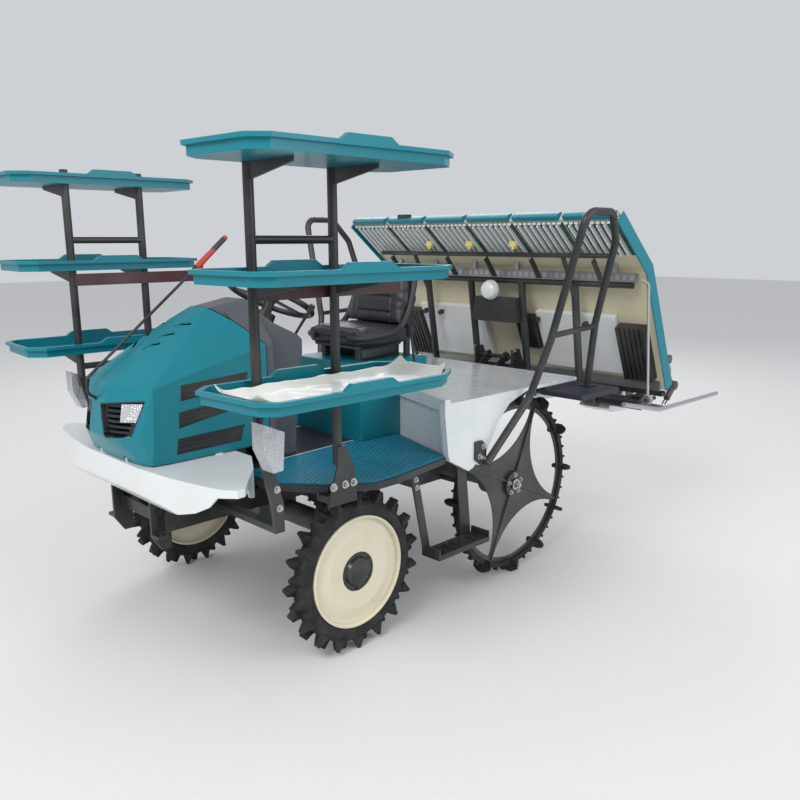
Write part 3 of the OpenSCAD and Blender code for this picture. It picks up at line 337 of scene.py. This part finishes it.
def add_bolt(form, place, way, across):
    # washer, hexagon head and the thread's end, standing on a face at place
    way = way.normalized()
    add_rod(form, place, place + way * across * 0.14, across * 0.78, 16)
    add_rod(form, place + way * across * 0.14, place + way * across * 0.62, across * 0.56, 6, across * 0.52)
    add_rod(form, place + way * across * 0.62, place + way * across * 0.86, across * 0.3, 10)


bolts = {"chassis": [], "planting_unit": [], "rear_wheel_left": [], "rear_wheel_right": []}
for side in (1, -1):
    out = Vector((side, 0, 0))
    for y in (-1205, -1150, -1110):
        bolts["chassis"].append((at(side * 714.2, y, 725), out, 20))
    for y, z in ((-370, 676), (-345, 664), (-345, 716)):
        bolts["chassis"].append((at(side * 702.2, y, z), out, 17))
    for y, z in ((-1428, 760), (-1420, 690), (-1500, 985)):
        bolts["chassis"].append((at(side * 680.2, y, z), out, 17))
    for y, z in ((-738, 612), (-744, 646)):
        bolts["chassis"].append((at(side * 680.2, y, z), out, 15))
    for y, z in ((600, 735), (600, 990), (690, 860)):
        bolts["planting_unit"].append((at(side * 138.2, y, z), out, 18))
    wheel = "rear_wheel_left" if side > 0 else "rear_wheel_right"
    for k in range(5):
        a = 2 * pi * k / 5
        bolts[wheel].append((at(side * 618.2, 45 * sin(a), 450 + 45 * cos(a)), out, 15))
    bolts[wheel].append((at(side * 622.2, 0, 450), out, 34))
for body, places in bolts.items():
    form = bmesh.new()
    for place, way, across in places:
        add_bolt(form, place, way, across * MM)
    piece("bolts_" + body, form, plated, body)

# Wheels
# Front: a narrow tyre with tall leaning lugs on a cream disc with a black hub.
# Rear: a steel star with four points, and rubber paddles moulded round its rim.
tyre_rubber = finish_of("tyre_rubber", (0.014, 0.014, 0.015), 0.75, dust=(0.11, 0.1, 0.09), amount=0.4,
                        patch=14.0, grain=420.0, depth=0.0004, specular=0.35, round_edge=0.004)
dress(tyre_rubber, "front_tyre_left", "front_tyre_right", "rear_paddles_left", "rear_paddles_right",
      "tray_belts")
cream_paint = finish_of("cream_paint", (0.72, 0.66, 0.5), 0.36, dust=(0.5, 0.45, 0.36), amount=0.35,
                        patch=5.0, coat=0.25, round_edge=0.002)
dress(cream_paint, "front_disc_left", "front_disc_right")
# the hubs' lighter sharp edges are partly wear, partly painted highlight
hub_paint = finish_of("hub_black_paint", (0.013, 0.013, 0.015), 0.3, amount=0.2, coat=0.2,
                      edge=(0.2, 0.2, 0.2), round_edge=0.002)
dress(hub_paint, "front_hub_left", "front_hub_right", "rear_web_left", "rear_web_right")


# Bumper
# One white moulded shell, folded down all round, with soft corners and a flat shelf on top.
# It is screwed to the ends of the frame rails, and the bonnet closes down behind its shelf.
def rounded(node, width, mat, body, segments=2, limit=28):
    # the same piece with its edges rounded over, as a moulding has them
    mesh = nodes[node].data.copy()
    form = bmesh.new()
    form.from_mesh(mesh)
    bmesh.ops.remove_doubles(form, verts=form.verts, dist=2e-5)
    bmesh.ops.dissolve_limit(form, angle_limit=radians(1.2), verts=form.verts, edges=form.edges)
    for face in form.faces:
        face.smooth = True
    form.to_mesh(mesh)
    form.free()
    mesh.materials.clear()
    mesh.materials.append(mat)
    made = bpy.data.objects.new(node + "_moulded", mesh)
    scene.collection.objects.link(made)
    soften = made.modifiers.new("edges", "BEVEL")
    soften.width = width
    soften.segments = segments
    soften.limit_method = "ANGLE"
    soften.angle_limit = radians(limit)
    soften.use_clamp_overlap = True
    smooth = made.modifiers.new("normals", "WEIGHTED_NORMAL")
    smooth.keep_sharp = False
    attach(made, body)
    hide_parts(node)
    return made


white_moulding = finish_of("white_moulding", (0.74, 0.76, 0.77), 0.3, dust=(0.52, 0.52, 0.5), amount=0.25,
                           patch=4.0, coat=0.3, depth=0.0001)
rounded("bumper", 0.012, white_moulding, "chassis", 4)

# Bonnet
# A glossy teal moulding with louvres, a black panel in the nose and two lamps.
# It swings up on a hinge across the front, and carries its lamps and panels with it.
teal_moulding = finish_of("teal_moulding", (0.0, 0.19, 0.245), 0.36, dust=(0.04, 0.23, 0.28), amount=0.2,
                          patch=3.0, coat=0.12, depth=0.00008, specular=0.35)
rounded("hood", 0.008, teal_moulding, "bonnet", 3, 12)
black_moulding = finish_of("black_moulding", (0.012, 0.012, 0.014), 0.45, amount=0.2, grain=500.0,
                           depth=0.0002)
rounded("hood_grilles", 0.0015, black_moulding, "bonnet", 2)


def lens_material(name, tint, rough, cell, metal):
    # clear cover over a bright bowl: the flutes of the lens break the light up
    mat = bpy.data.materials.new(name)
    mat.use_nodes = True
    tree = mat.node_tree
    shader = tree.nodes["Principled BSDF"]
    shader.inputs["Base Color"].default_value = (*tint, 1)
    shader.inputs["Roughness"].default_value = rough
    shader.inputs["Metallic"].default_value = metal
    shader.inputs["IOR"].default_value = 1.5
    shader.inputs["Coat Weight"].default_value = 0.8
    cells = tree.nodes.new("ShaderNodeTexVoronoi")
    cells.inputs["Scale"].default_value = cell
    place = tree.nodes.new("ShaderNodeTexCoord")
    bump = tree.nodes.new("ShaderNodeBump")
    bump.inputs["Distance"].default_value = 0.004
    tree.links.new(place.outputs["Object"], cells.inputs["Vector"])
    tree.links.new(cells.outputs["Distance"], bump.inputs["Height"])
    tree.links.new(bump.outputs["Normal"], shader.inputs["Normal"])
    return mat


lamp_glass = lens_material("lamp_glass", (0.62, 0.63, 0.65), 0.15, 95.0, 0.6)
dress(lamp_glass, "headlamps")

# Side lamps
# Faceted reflector blocks with a clear cover, in black housings at the feet of the front posts.
# The broad faces are reflector, and the edges all round are the housing's plastic.
reflector = lens_material("side_reflector", (0.5, 0.51, 0.54), 0.3, 130.0, 0.35)
mesh = nodes["side_lamps"].data.copy()
form = bmesh.new()
form.from_mesh(mesh)
bmesh.ops.remove_doubles(form, verts=form.verts, dist=2e-5)
for face in form.faces:
    face.material_index = 0 if abs(face.normal.x) > 0.5 and face.calc_area() > 0.002 else 1
form.to_mesh(mesh)
form.free()
mesh.materials.clear()
mesh.materials.append(reflector)
mesh.materials.append(black_moulding)
lamps = bpy.data.objects.new("side_lamps_clear", mesh)
scene.collection.objects.link(lamps)
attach(lamps, "chassis")
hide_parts("side_lamps")

# Cowl, steering and levers
# A dark grey moulded cowl with a fine grain stands on the footboard behind the bonnet.
# The column, the levers and the wheel's rim are black plastic over steel.
grey_moulding = finish_of("grey_moulding", (0.075, 0.083, 0.1), 0.5, dust=(0.2, 0.2, 0.2), amount=0.3,
                          grain=700.0, depth=0.00025)
rounded("dash_cowl", 0.008, grey_moulding, "chassis", 3, 25)
dress(black_moulding, "steering_column", "control_levers", "steering_wheel")

# Footboard mats
# Teal rubber mats with rows of raised studs, laid on the steel footboard either side of the cowl.
# A white strip divides them from the dark mat in the middle.
mat_rubber = finish_of("teal_mat_rubber", (0.0, 0.16, 0.25), 0.45, dust=(0.03, 0.18, 0.26), amount=0.35,
                       patch=7.0, grain=500.0, depth=0.0003)
dress(mat_rubber, "footboard_mats")
mat_edge = [(262, -1286), (446, -1291), (628, -1162), (722, -1010), (722, -905), (670, -570), (656, -556),
            (246, -420), (246, -646), (198, -652), (224, -1053), (224, -1092), (262, -1092)]
stud_pitch, stud_r, stud_h, mat_top = 24.0, 7.6, 3.2, 710.0


def add_box(form, low, high, turn=None, chamfer=0.0):
    # a box between two corners in metres, turned about its middle and with cut edges
    middle, size = (low + high) / 2, high - low
    made = bmesh.ops.create_cube(form, size=1.0)["verts"]
    bmesh.ops.scale(form, verts=made, vec=size)
    if chamfer:
        edges = list({edge for vert in made for edge in vert.link_edges})
        made = bmesh.ops.bevel(form, geom=edges, offset=chamfer, segments=2, affect="EDGES")["verts"]
    matrix = Matrix.Translation(middle) @ (turn or Matrix.Identity(4))
    bmesh.ops.transform(form, verts=made, matrix=matrix)
    return made


def inside(x, y, edge, margin):
    # true where the point lies in the outline and at least margin from each side
    found = False
    for (x0, y0), (x1, y1) in zip(edge, edge[1:] + edge[:1]):
        if (y0 > y) != (y1 > y) and x < (x1 - x0) * (y - y0) / (y1 - y0) + x0:
            found = not found
        length = math.hypot(x1 - x0, y1 - y0)
        along = max(0.0, min(1.0, ((x - x0) * (x1 - x0) + (y - y0) * (y1 - y0)) / length ** 2))
        if math.hypot(x - x0 - along * (x1 - x0), y - y0 - along * (y1 - y0)) < margin:
            return False
    return found


def add_stud(form, place, side):
    # a six-sided stud that narrows to its flat top, open where it stands on the mat
    rings = []
    for radius, rise in ((stud_r, 0.0), (stud_r * 0.62, stud_h)):
        ring = [Vector((side * radius * cos(k * pi / 3), radius * sin(k * pi / 3), rise)) for k in range(6)]
        rings.append([form.verts.new(place + corner * MM) for corner in ring])
    for k in range(6):
        form.faces.new((rings[0][k], rings[0][k - 1], rings[1][k - 1], rings[1][k]))
    form.faces.new(rings[1])


for side, label in ((1, "left"), (-1, "right")):
    form = bmesh.new()
    row = 0
    y = -1284.0
    while y < -430:
        x = 205.0 + (row % 2) * stud_pitch / 2
        while x < 720:
            if inside(x, y, mat_edge, 11.0):
                add_stud(form, at(side * x, y, mat_top), side)
            x += stud_pitch
        y += stud_pitch * 0.87
        row += 1
    piece("mat_studs_" + label, form, mat_rubber, "chassis")
dark_mat = finish_of("dark_mat_rubber", (0.02, 0.024, 0.038), 0.55, dust=(0.1, 0.1, 0.12), amount=0.3,
                     patch=7.0, grain=500.0, depth=0.0003)
dress(dark_mat, "inner_mats")
rounded("rear_steps", 0.004, dark_mat, "chassis", 2)
form = bmesh.new()
for k in range(13):
    y = -966 + k * 24
    for x in range(-168, 169, 48):
        add_box(form, at(x - 19, y, 708.6), at(x + 19, y + 10, 711.4), None, 0.001)
piece("inner_mat_ridges", form, dark_mat, "chassis")
form = bmesh.new()
for side in (1, -1):
    for start, end in (((220.5, -1088), (220.5, -1055)), ((220.5, -1055), (195.5, -655))):
        a, b = at(side * start[0], start[1], 706.5), at(side * end[0], end[1], 706.5)
        turn = Matrix.Rotation(math.atan2(b.y - a.y, b.x - a.x), 4, "Z")
        half = Vector(((b - a).length / 2, 0.0027, 0.0045))
        add_box(form, (a + b) / 2 - half, (a + b) / 2 + half, turn)
piece("mat_strips", form, white_moulding, "chassis")

# Seat
# A bucket seat of black vinyl over foam, with sewn channels and a raised lip at each side.
# It stands on black brackets on a teal housing with soft corners.
vinyl = finish_of("seat_vinyl", (0.016, 0.018, 0.022), 0.4, dust=(0.06, 0.06, 0.065), amount=0.3,
                  grain=900.0, depth=0.0004)
rounded("seat_base", 0.014, teal_moulding, "chassis", 3)
swell_frames, smoothing_rounds = 20, 14


def plump(node, name, voxel, cap, pull):
    # swells the solid's own form into a stuffed pad: cloth under pressure, then held near the start shape
    mesh = nodes[node].data.copy()
    form = bmesh.new()
    form.from_mesh(mesh)
    bmesh.ops.remove_doubles(form, verts=form.verts, dist=2e-5)
    loose = {v for v in form.verts}
    largest = set()
    while loose:
        start = loose.pop()
        part, edge = {start}, [start]
        while edge:
            v = edge.pop()
            for e in v.link_edges:
                w = e.other_vert(v)
                if w in loose:
                    loose.discard(w)
                    part.add(w)
                    edge.append(w)
        spans = [max(v.co[k] for v in part) - min(v.co[k] for v in part) for k in range(3)]
        if spans[0] > 0.3 and len(part) > len(largest):
            largest = part
    bmesh.ops.delete(form, geom=[v for v in form.verts if v not in largest], context="VERTS")
    low = [min(v.co[k] for v in form.verts) for k in range(3)]
    high = [max(v.co[k] for v in form.verts) for k in range(3)]
    for v in form.verts:
        for k in range(3):
            half = (high[k] - low[k]) / 2
            centre = (high[k] + low[k]) / 2
            v.co[k] = centre + (v.co[k] - centre) * (half - pull) / half
    form.to_mesh(mesh)
    form.free()
    mesh.materials.clear()
    mesh.materials.append(vinyl)
    pad = bpy.data.objects.new(name, mesh)
    scene.collection.objects.link(pad)
    remesh = pad.modifiers.new("even", "REMESH")
    remesh.mode = "VOXEL"
    remesh.voxel_size = voxel
    depsgraph = bpy.context.evaluated_depsgraph_get()
    even = bpy.data.meshes.new_from_object(pad.evaluated_get(depsgraph))
    pad.modifiers.clear()
    pad.data = even
    even.materials.clear()
    even.materials.append(vinyl)
    start = [v.co.copy() for v in even.vertices]
    cloth = pad.modifiers.new("cloth", "CLOTH")
    cloth.settings.use_pressure = True
    cloth.settings.uniform_pressure_force = 4.0
    cloth.settings.effector_weights.gravity = 0.0
    cloth.settings.quality = 5
    cloth.settings.tension_stiffness = 40
    cloth.settings.compression_stiffness = 40
    cloth.settings.bending_stiffness = 12
    cloth.point_cache.frame_start = 1
    cloth.point_cache.frame_end = swell_frames
    for frame_number in range(1, swell_frames + 1):
        scene.frame_set(frame_number)
    depsgraph = bpy.context.evaluated_depsgraph_get()
    swollen = pad.evaluated_get(depsgraph).to_mesh()
    moved = [v.co.copy() for v in swollen.vertices]
    pad.evaluated_get(depsgraph).to_mesh_clear()
    pad.modifiers.clear()
    for v, a, b in zip(even.vertices, start, moved):
        step = b - a
        v.co = a + step * min(1.0, cap / max(step.length, 1e-9))
    scene.frame_set(1)
    form = bmesh.new()
    form.from_mesh(even)
    for _ in range(smoothing_rounds):
        bmesh.ops.smooth_vert(form, verts=form.verts, factor=0.5, use_axis_x=True, use_axis_y=True,
                              use_axis_z=True)
    form.to_mesh(even)
    form.free()
    return pad


def sew(pad, channels, width, depth):
    # press narrow sewn channels into the pad; each is a test that gives a point's distance from its line
    for v in pad.data.vertices:
        sink = 0.0
        for distance, way in channels:
            d = distance(v.co)
            if d is not None and d < width:
                sink = max(sink, 0.5 + 0.5 * cos(pi * d / width))
                push = way
        if sink:
            v.co += push * depth * sink


def finish_pad(pad, node):
    # the pad takes its solid's place, on the carrier, as stuffed vinyl
    for polygon in pad.data.polygons:
        polygon.use_smooth = True
    finer = pad.modifiers.new("finer", "SUBSURF")
    finer.levels = finer.render_levels = 1
    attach(pad, "chassis")
    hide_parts(node)


pad_voxel, pad_swell, pad_inset = 0.0055, 0.014, 0.012
channel_width, channel_depth = 0.011, 0.009
pad = plump("seat_cushion", "seat_cushion_pad", pad_voxel, pad_swell, pad_inset)
cushion_lines = [
    (lambda p: abs(abs(p.x) - 0.118) if p.z > 1.16 and at(0, -600, 0).y < p.y < at(0, -330, 0).y else None,
     Vector((0, 0, -1))),
    (lambda p: abs(p.y - at(0, -585, 0).y) if p.z > 1.16 and abs(p.x) < 0.17 else None, Vector((0, 0, -1))),
    (lambda p: abs(p.z - 1.157) if p.y < at(0, -560, 0).y else None, Vector((0, 1, 0)))]
sew(pad, cushion_lines, channel_width, channel_depth)
finish_pad(pad, "seat_cushion")
pad = plump("seat_back", "seat_back_pad", pad_voxel, pad_swell, pad_inset)
front_of_back = at(0, -262, 0).y
back_lines = [
    (lambda p: abs(abs(p.x) - 0.118) if p.y < front_of_back + 0.02 and 1.22 < p.z < 1.42 else None,
     Vector((0, 1, 0))),
    (lambda p: abs(p.z - 1.335) if p.y < front_of_back + 0.02 and abs(p.x) < 0.12 else None,
     Vector((0, 1, 0))),
    (lambda p: abs(p.z - 1.262) if p.y < front_of_back and abs(p.x) < 0.12 else None, Vector((0, 1, 0)))]
sew(pad, back_lines, channel_width, channel_depth)
finish_pad(pad, "seat_back")


def bent_tube(name, paths, radius, mat, body, sides=3):
    # round tubes along smooth paths, closed at both ends
    curve = bpy.data.curves.new(name + "_path", "CURVE")
    curve.dimensions = "3D"
    curve.bevel_depth = radius
    curve.bevel_resolution = sides
    curve.use_fill_caps = True
    for path in paths:
        spline = curve.splines.new("NURBS")
        spline.points.add(len(path) - 1)
        for point, place in zip(spline.points, path):
            point.co = (*place, 1)
        spline.order_u = 4
        spline.use_endpoint_u = True
        spline.resolution_u = 6
    line = bpy.data.objects.new(name + "_path", curve)
    scene.collection.objects.link(line)
    mesh = bpy.data.meshes.new_from_object(line.evaluated_get(bpy.context.evaluated_depsgraph_get()))
    bpy.data.objects.remove(line)
    form = bmesh.new()
    form.from_mesh(mesh)
    return piece(name, form, mat, body, 50)


lip_line = ((120, -606, 1158), (186, -600, 1162), (201, -560, 1166), (203, -450, 1172), (204, -372, 1186),
            (204, -325, 1232), (203, -292, 1300), (199, -268, 1380), (190, -246, 1440), (150, -238, 1456))
lips = [[at(side * x, y, z) for x, y, z in lip_line] for side in (1, -1)]
lip_radius = 0.0145
bent_tube("seat_lips", lips, lip_radius, vinyl, "chassis")
form = bmesh.new()
for side in (1, -1):
    add_box(form, at(120 * side - 15, -560, 1055), at(120 * side + 15, -300, 1128), None, 0.003)
    add_box(form, at(159 * side - 9, -292, 1055), at(159 * side + 9, -258, 1150), None, 0.003)
add_box(form, at(-150, -590, 1112), at(150, -300, 1127), None, 0.004)
piece("seat_brackets", form, black_paint, "chassis")

# Rear deck
# White moulded fenders and deck over the rear wheels, in one piece from side to side.
# Its gloss is broken by a thin clear film that lies on it in shallow creases.
film = finish_of("filmed_white", (0.74, 0.77, 0.79), 0.22, dust=(0.56, 0.58, 0.6), amount=0.5, patch=6.0,
                 coat=0.5, grain=14.0, depth=0.006, sharp=0.72)
rounded("rear_deck", 0.008, film, "chassis", 3)

# Seedling racks
# Teal trays of blow-moulded plastic sit on carriers at the black posts, in three tiers a side.
# Dark red strips run under the upper trays, and one tray holds a thin pale liner.
rounded("spare_trays", 0.005, teal_moulding, "chassis", 2)
maroon = finish_of("maroon_strip", (0.055, 0.006, 0.012), 0.4, amount=0.2)
dress(maroon, "rack_guards")
liner_plastic = finish_of("liner_plastic", (0.78, 0.77, 0.72), 0.4, dust=(0.6, 0.58, 0.5), amount=0.3,
                          patch=8.0, coat=0.2)
form = bmesh.new()
wide, long_ = 14, 60
liner_front, liner_length, liner_middle, liner_half, liner_floor = -1700, 800, 866, 140, 1117
grid = []
for j in range(long_ + 1):
    y = liner_front + j * liner_length / long_
    line = []
    for i in range(wide + 1):
        u = i / wide * 2 - 1
        end = max(0.0, abs(j / long_ * 2 - 1) - 0.86) / 0.14
        rise = 26 * max(0.0, abs(u) - 0.78) / 0.22 + 34 * end ** 1.6 * (1 if j < long_ / 2 else 1.3)
        wave = 2.2 * sin(j * 0.9) * sin(i * 0.8 + j * 0.13) + 1.6 * sin(j * 0.37 + 1.0)
        half = liner_half - 26 * end
        line.append(form.verts.new(at(liner_middle + u * half, y, liner_floor + rise + wave)))
    grid.append(line)
for j in range(long_):
    for i in range(wide):
        form.faces.new((grid[j][i], grid[j][i + 1], grid[j + 1][i + 1], grid[j + 1][i]))
liner = piece("tray_liner", form, liner_plastic, "chassis", 60)
body_of_liner = liner.modifiers.new("wall", "SOLIDIFY")
body_of_liner.thickness = 2 * MM
finer = liner.modifiers.new("finer", "SUBSURF")
finer.levels = finer.render_levels = 1

# Marker over the bonnet
# A black rod that leads the eye to the planted row, fixed to the bonnet's nose.
# Its end is a red plastic sleeve with a short peg.
red_paint = finish_of("red_tip", (0.5, 0.03, 0.015), 0.4, amount=0.15)
form = bmesh.new()
add_rod(form, at(0, -1290, 1494), at(0, -1150, 1611.4), 0.0125, 20, 0.010)
add_rod(form, at(0, -1262, 1517.6), at(-16, -1264, 1470), 0.006, 14)
piece("marker_tip", form, red_paint, "bonnet", 40)

# Planting unit
# A cream tray with teal rims, and white slats, white panels and ribbed black covers under it.
# It slides on the unit's rails, above the row cases and the white floats.
cream_plastic = finish_of("cream_plastic", (0.66, 0.6, 0.42), 0.42, dust=(0.5, 0.46, 0.36), amount=0.35,
                          patch=4.0)
dress(cream_plastic, "seedling_tray")
rounded("tray_edges", 0.003, teal_moulding, "tray", 2)
rounded("tray_panels", 0.006, white_moulding, "tray", 2)
dress(white_moulding, "tray_slats")
rounded("floats", 0.01, white_moulding, "planting_unit", 2)
rounded("feed_covers", 0.002, black_moulding, "tray", 2)
rounded("centre_lamp", 0.004, white_moulding, "planting_unit", 3)


def under_tray(y, drop=0.0, x=0.0):
    # a point below the tray's slanted underside, as far off it as drop in millimetres
    if y < 626:
        dy, dz = 294, -241
        z = 1690 + (y - 332) * dz / dy
    else:
        dy, dz = 282, -614
        z = 1449 + (y - 626) * dz / dy
    length = math.hypot(dy, dz)
    return at(x, y + drop * dz / length, z - drop * dy / length)


def add_slab(form, x0, x1, y0, y1, drop0, drop1):
    # a slab that lies against the tray's underside
    corners = [[form.verts.new(under_tray(y, drop, x)) for y, drop in ((y0, drop0), (y1, drop0), (y1, drop1),
                                                                    (y0, drop1))] for x in (x0, x1)]
    form.faces.new(corners[0])
    form.faces.new(corners[1][::-1])
    for k in range(4):
        form.faces.new((corners[0][k - 1], corners[0][k], corners[1][k], corners[1][k - 1]))


row_pitch, slat_pitch, slat_half, row_half = 300, 38, 5.4, 146
row_middles = [(i - 2.5) * row_pitch for i in range(6)]
# the backing is the rims' teal plastic coloured far darker: painted shade for the shadow under the tray
shaded_teal_panel = finish_of("teal_panel_painted_shade", (0.006, 0.05, 0.04), 0.5, amount=0.25, grain=400.0)
form = bmesh.new()
for middle in row_middles:
    for k in range(-4, 4):
        x0 = middle + k * slat_pitch + slat_half if k > -4 else middle - row_half
        x1 = middle + (k + 1) * slat_pitch - slat_half if k < 3 else middle + row_half
        add_slab(form, x0, x1, 348, 532, 0.3, 2.5)
piece("tray_backing", form, shaded_teal_panel, "tray")
form = bmesh.new()
half_block = Vector((0, 0.004, 0.006))
for middle in row_middles:
    for k in range(10):
        x0 = middle - 142 + k * 29
        low, high = under_tray(345, 8, x0) - half_block, under_tray(345, 8, x0 + 21) + half_block
        add_box(form, low, high, None, 0.002)
piece("tray_top_blocks", form, white_moulding, "tray")

# Tray belts
# Rubber belts with cross ribs that carry the seedling mats down to the arms.
# Each row has one, let into the tray near its lower edge.
form = bmesh.new()
belt_half, rib_pitch, ribs = 36, 5.4, 18
for middle in row_middles:
    for k in range(ribs):
        add_slab(form, middle - belt_half, middle + belt_half, 762 + k * rib_pitch, 764.4 + k * rib_pitch,
                 -14.1, -17.5)
piece("belt_ribs", form, tyre_rubber, "tray")

# Rail and fittings under the tray
# A pierced zinc-plated channel runs across under the tray, with black gussets at the brace.
# Yellow clips hold the slats, and round knobs close the white panels.
form = bmesh.new()
rail_face, rail_wall, rail_half = 576.0, 3, 872
bridges, bridge_pitch, bridge_width = 45, 39.4, 14
for z0, z1 in ((1393, 1404), (1427, 1438)):
    add_box(form, at(-rail_half, rail_face, z0), at(rail_half, rail_face + rail_wall, z1))
for k in range(bridges):
    x0 = -rail_half + k * bridge_pitch
    add_box(form, at(x0, rail_face, 1403.5), at(x0 + bridge_width, rail_face + rail_wall, 1427.5))
rail_zinc = finish_of("rail_zinc", (0.3, 0.3, 0.29), 0.4, metal=0.8, amount=0.3)
piece("pierced_rail", form, rail_zinc, "tray")
form = bmesh.new()
for x in (-700, -255, 30, 330, 700):
    for t in (0, 1):
        corners = [at(x + 8 * t, y, z) for y, z in ((470, 1508), (560, 1400), (520, 1398), (446, 1492))]
        made = [form.verts.new(c) for c in corners]
        if t:
            form.faces.new(made)
            for k in range(4):
                form.faces.new((first[k], first[k - 1], made[k - 1], made[k]))
        else:
            first = made
            form.faces.new(made[::-1])
piece("rail_gussets", form, black_paint, "planting_unit")
form = bmesh.new()
for x in (-365, -65, 235):
    high = under_tray(452, 40, x + 22) + Vector((0, 0.02, 0.03))
    add_box(form, under_tray(452, 40, x - 22), high, None, 0.003)
    add_rod(form, under_tray(470, 20, x + 8), under_tray(452, 48, x + 8), 0.009, 12)
clip_plastic = finish_of("yellow_clip", (0.75, 0.62, 0.22), 0.45, amount=0.2)
piece("tray_clips", form, clip_plastic, "tray", 40)
form = bmesh.new()
for x, y in ((-510, 748), (215, 748), (525, 750), (-640, 748)):
    face = under_tray(y, 34, x)
    add_rod(form, face, face + Vector((0, -0.014, -0.006)), 0.009, 16)
    add_rod(form, face + Vector((0, -0.014, -0.006)), face + Vector((0, -0.034, -0.014)), 0.017, 20, 0.014)
piece("panel_knobs", form, black_moulding, "tray", 40)
form = bmesh.new()
add_box(form, at(-511, 318, 1700), at(-423, 352, 1738), None, 0.004)
piece("tray_top_box", form, black_moulding, "tray")
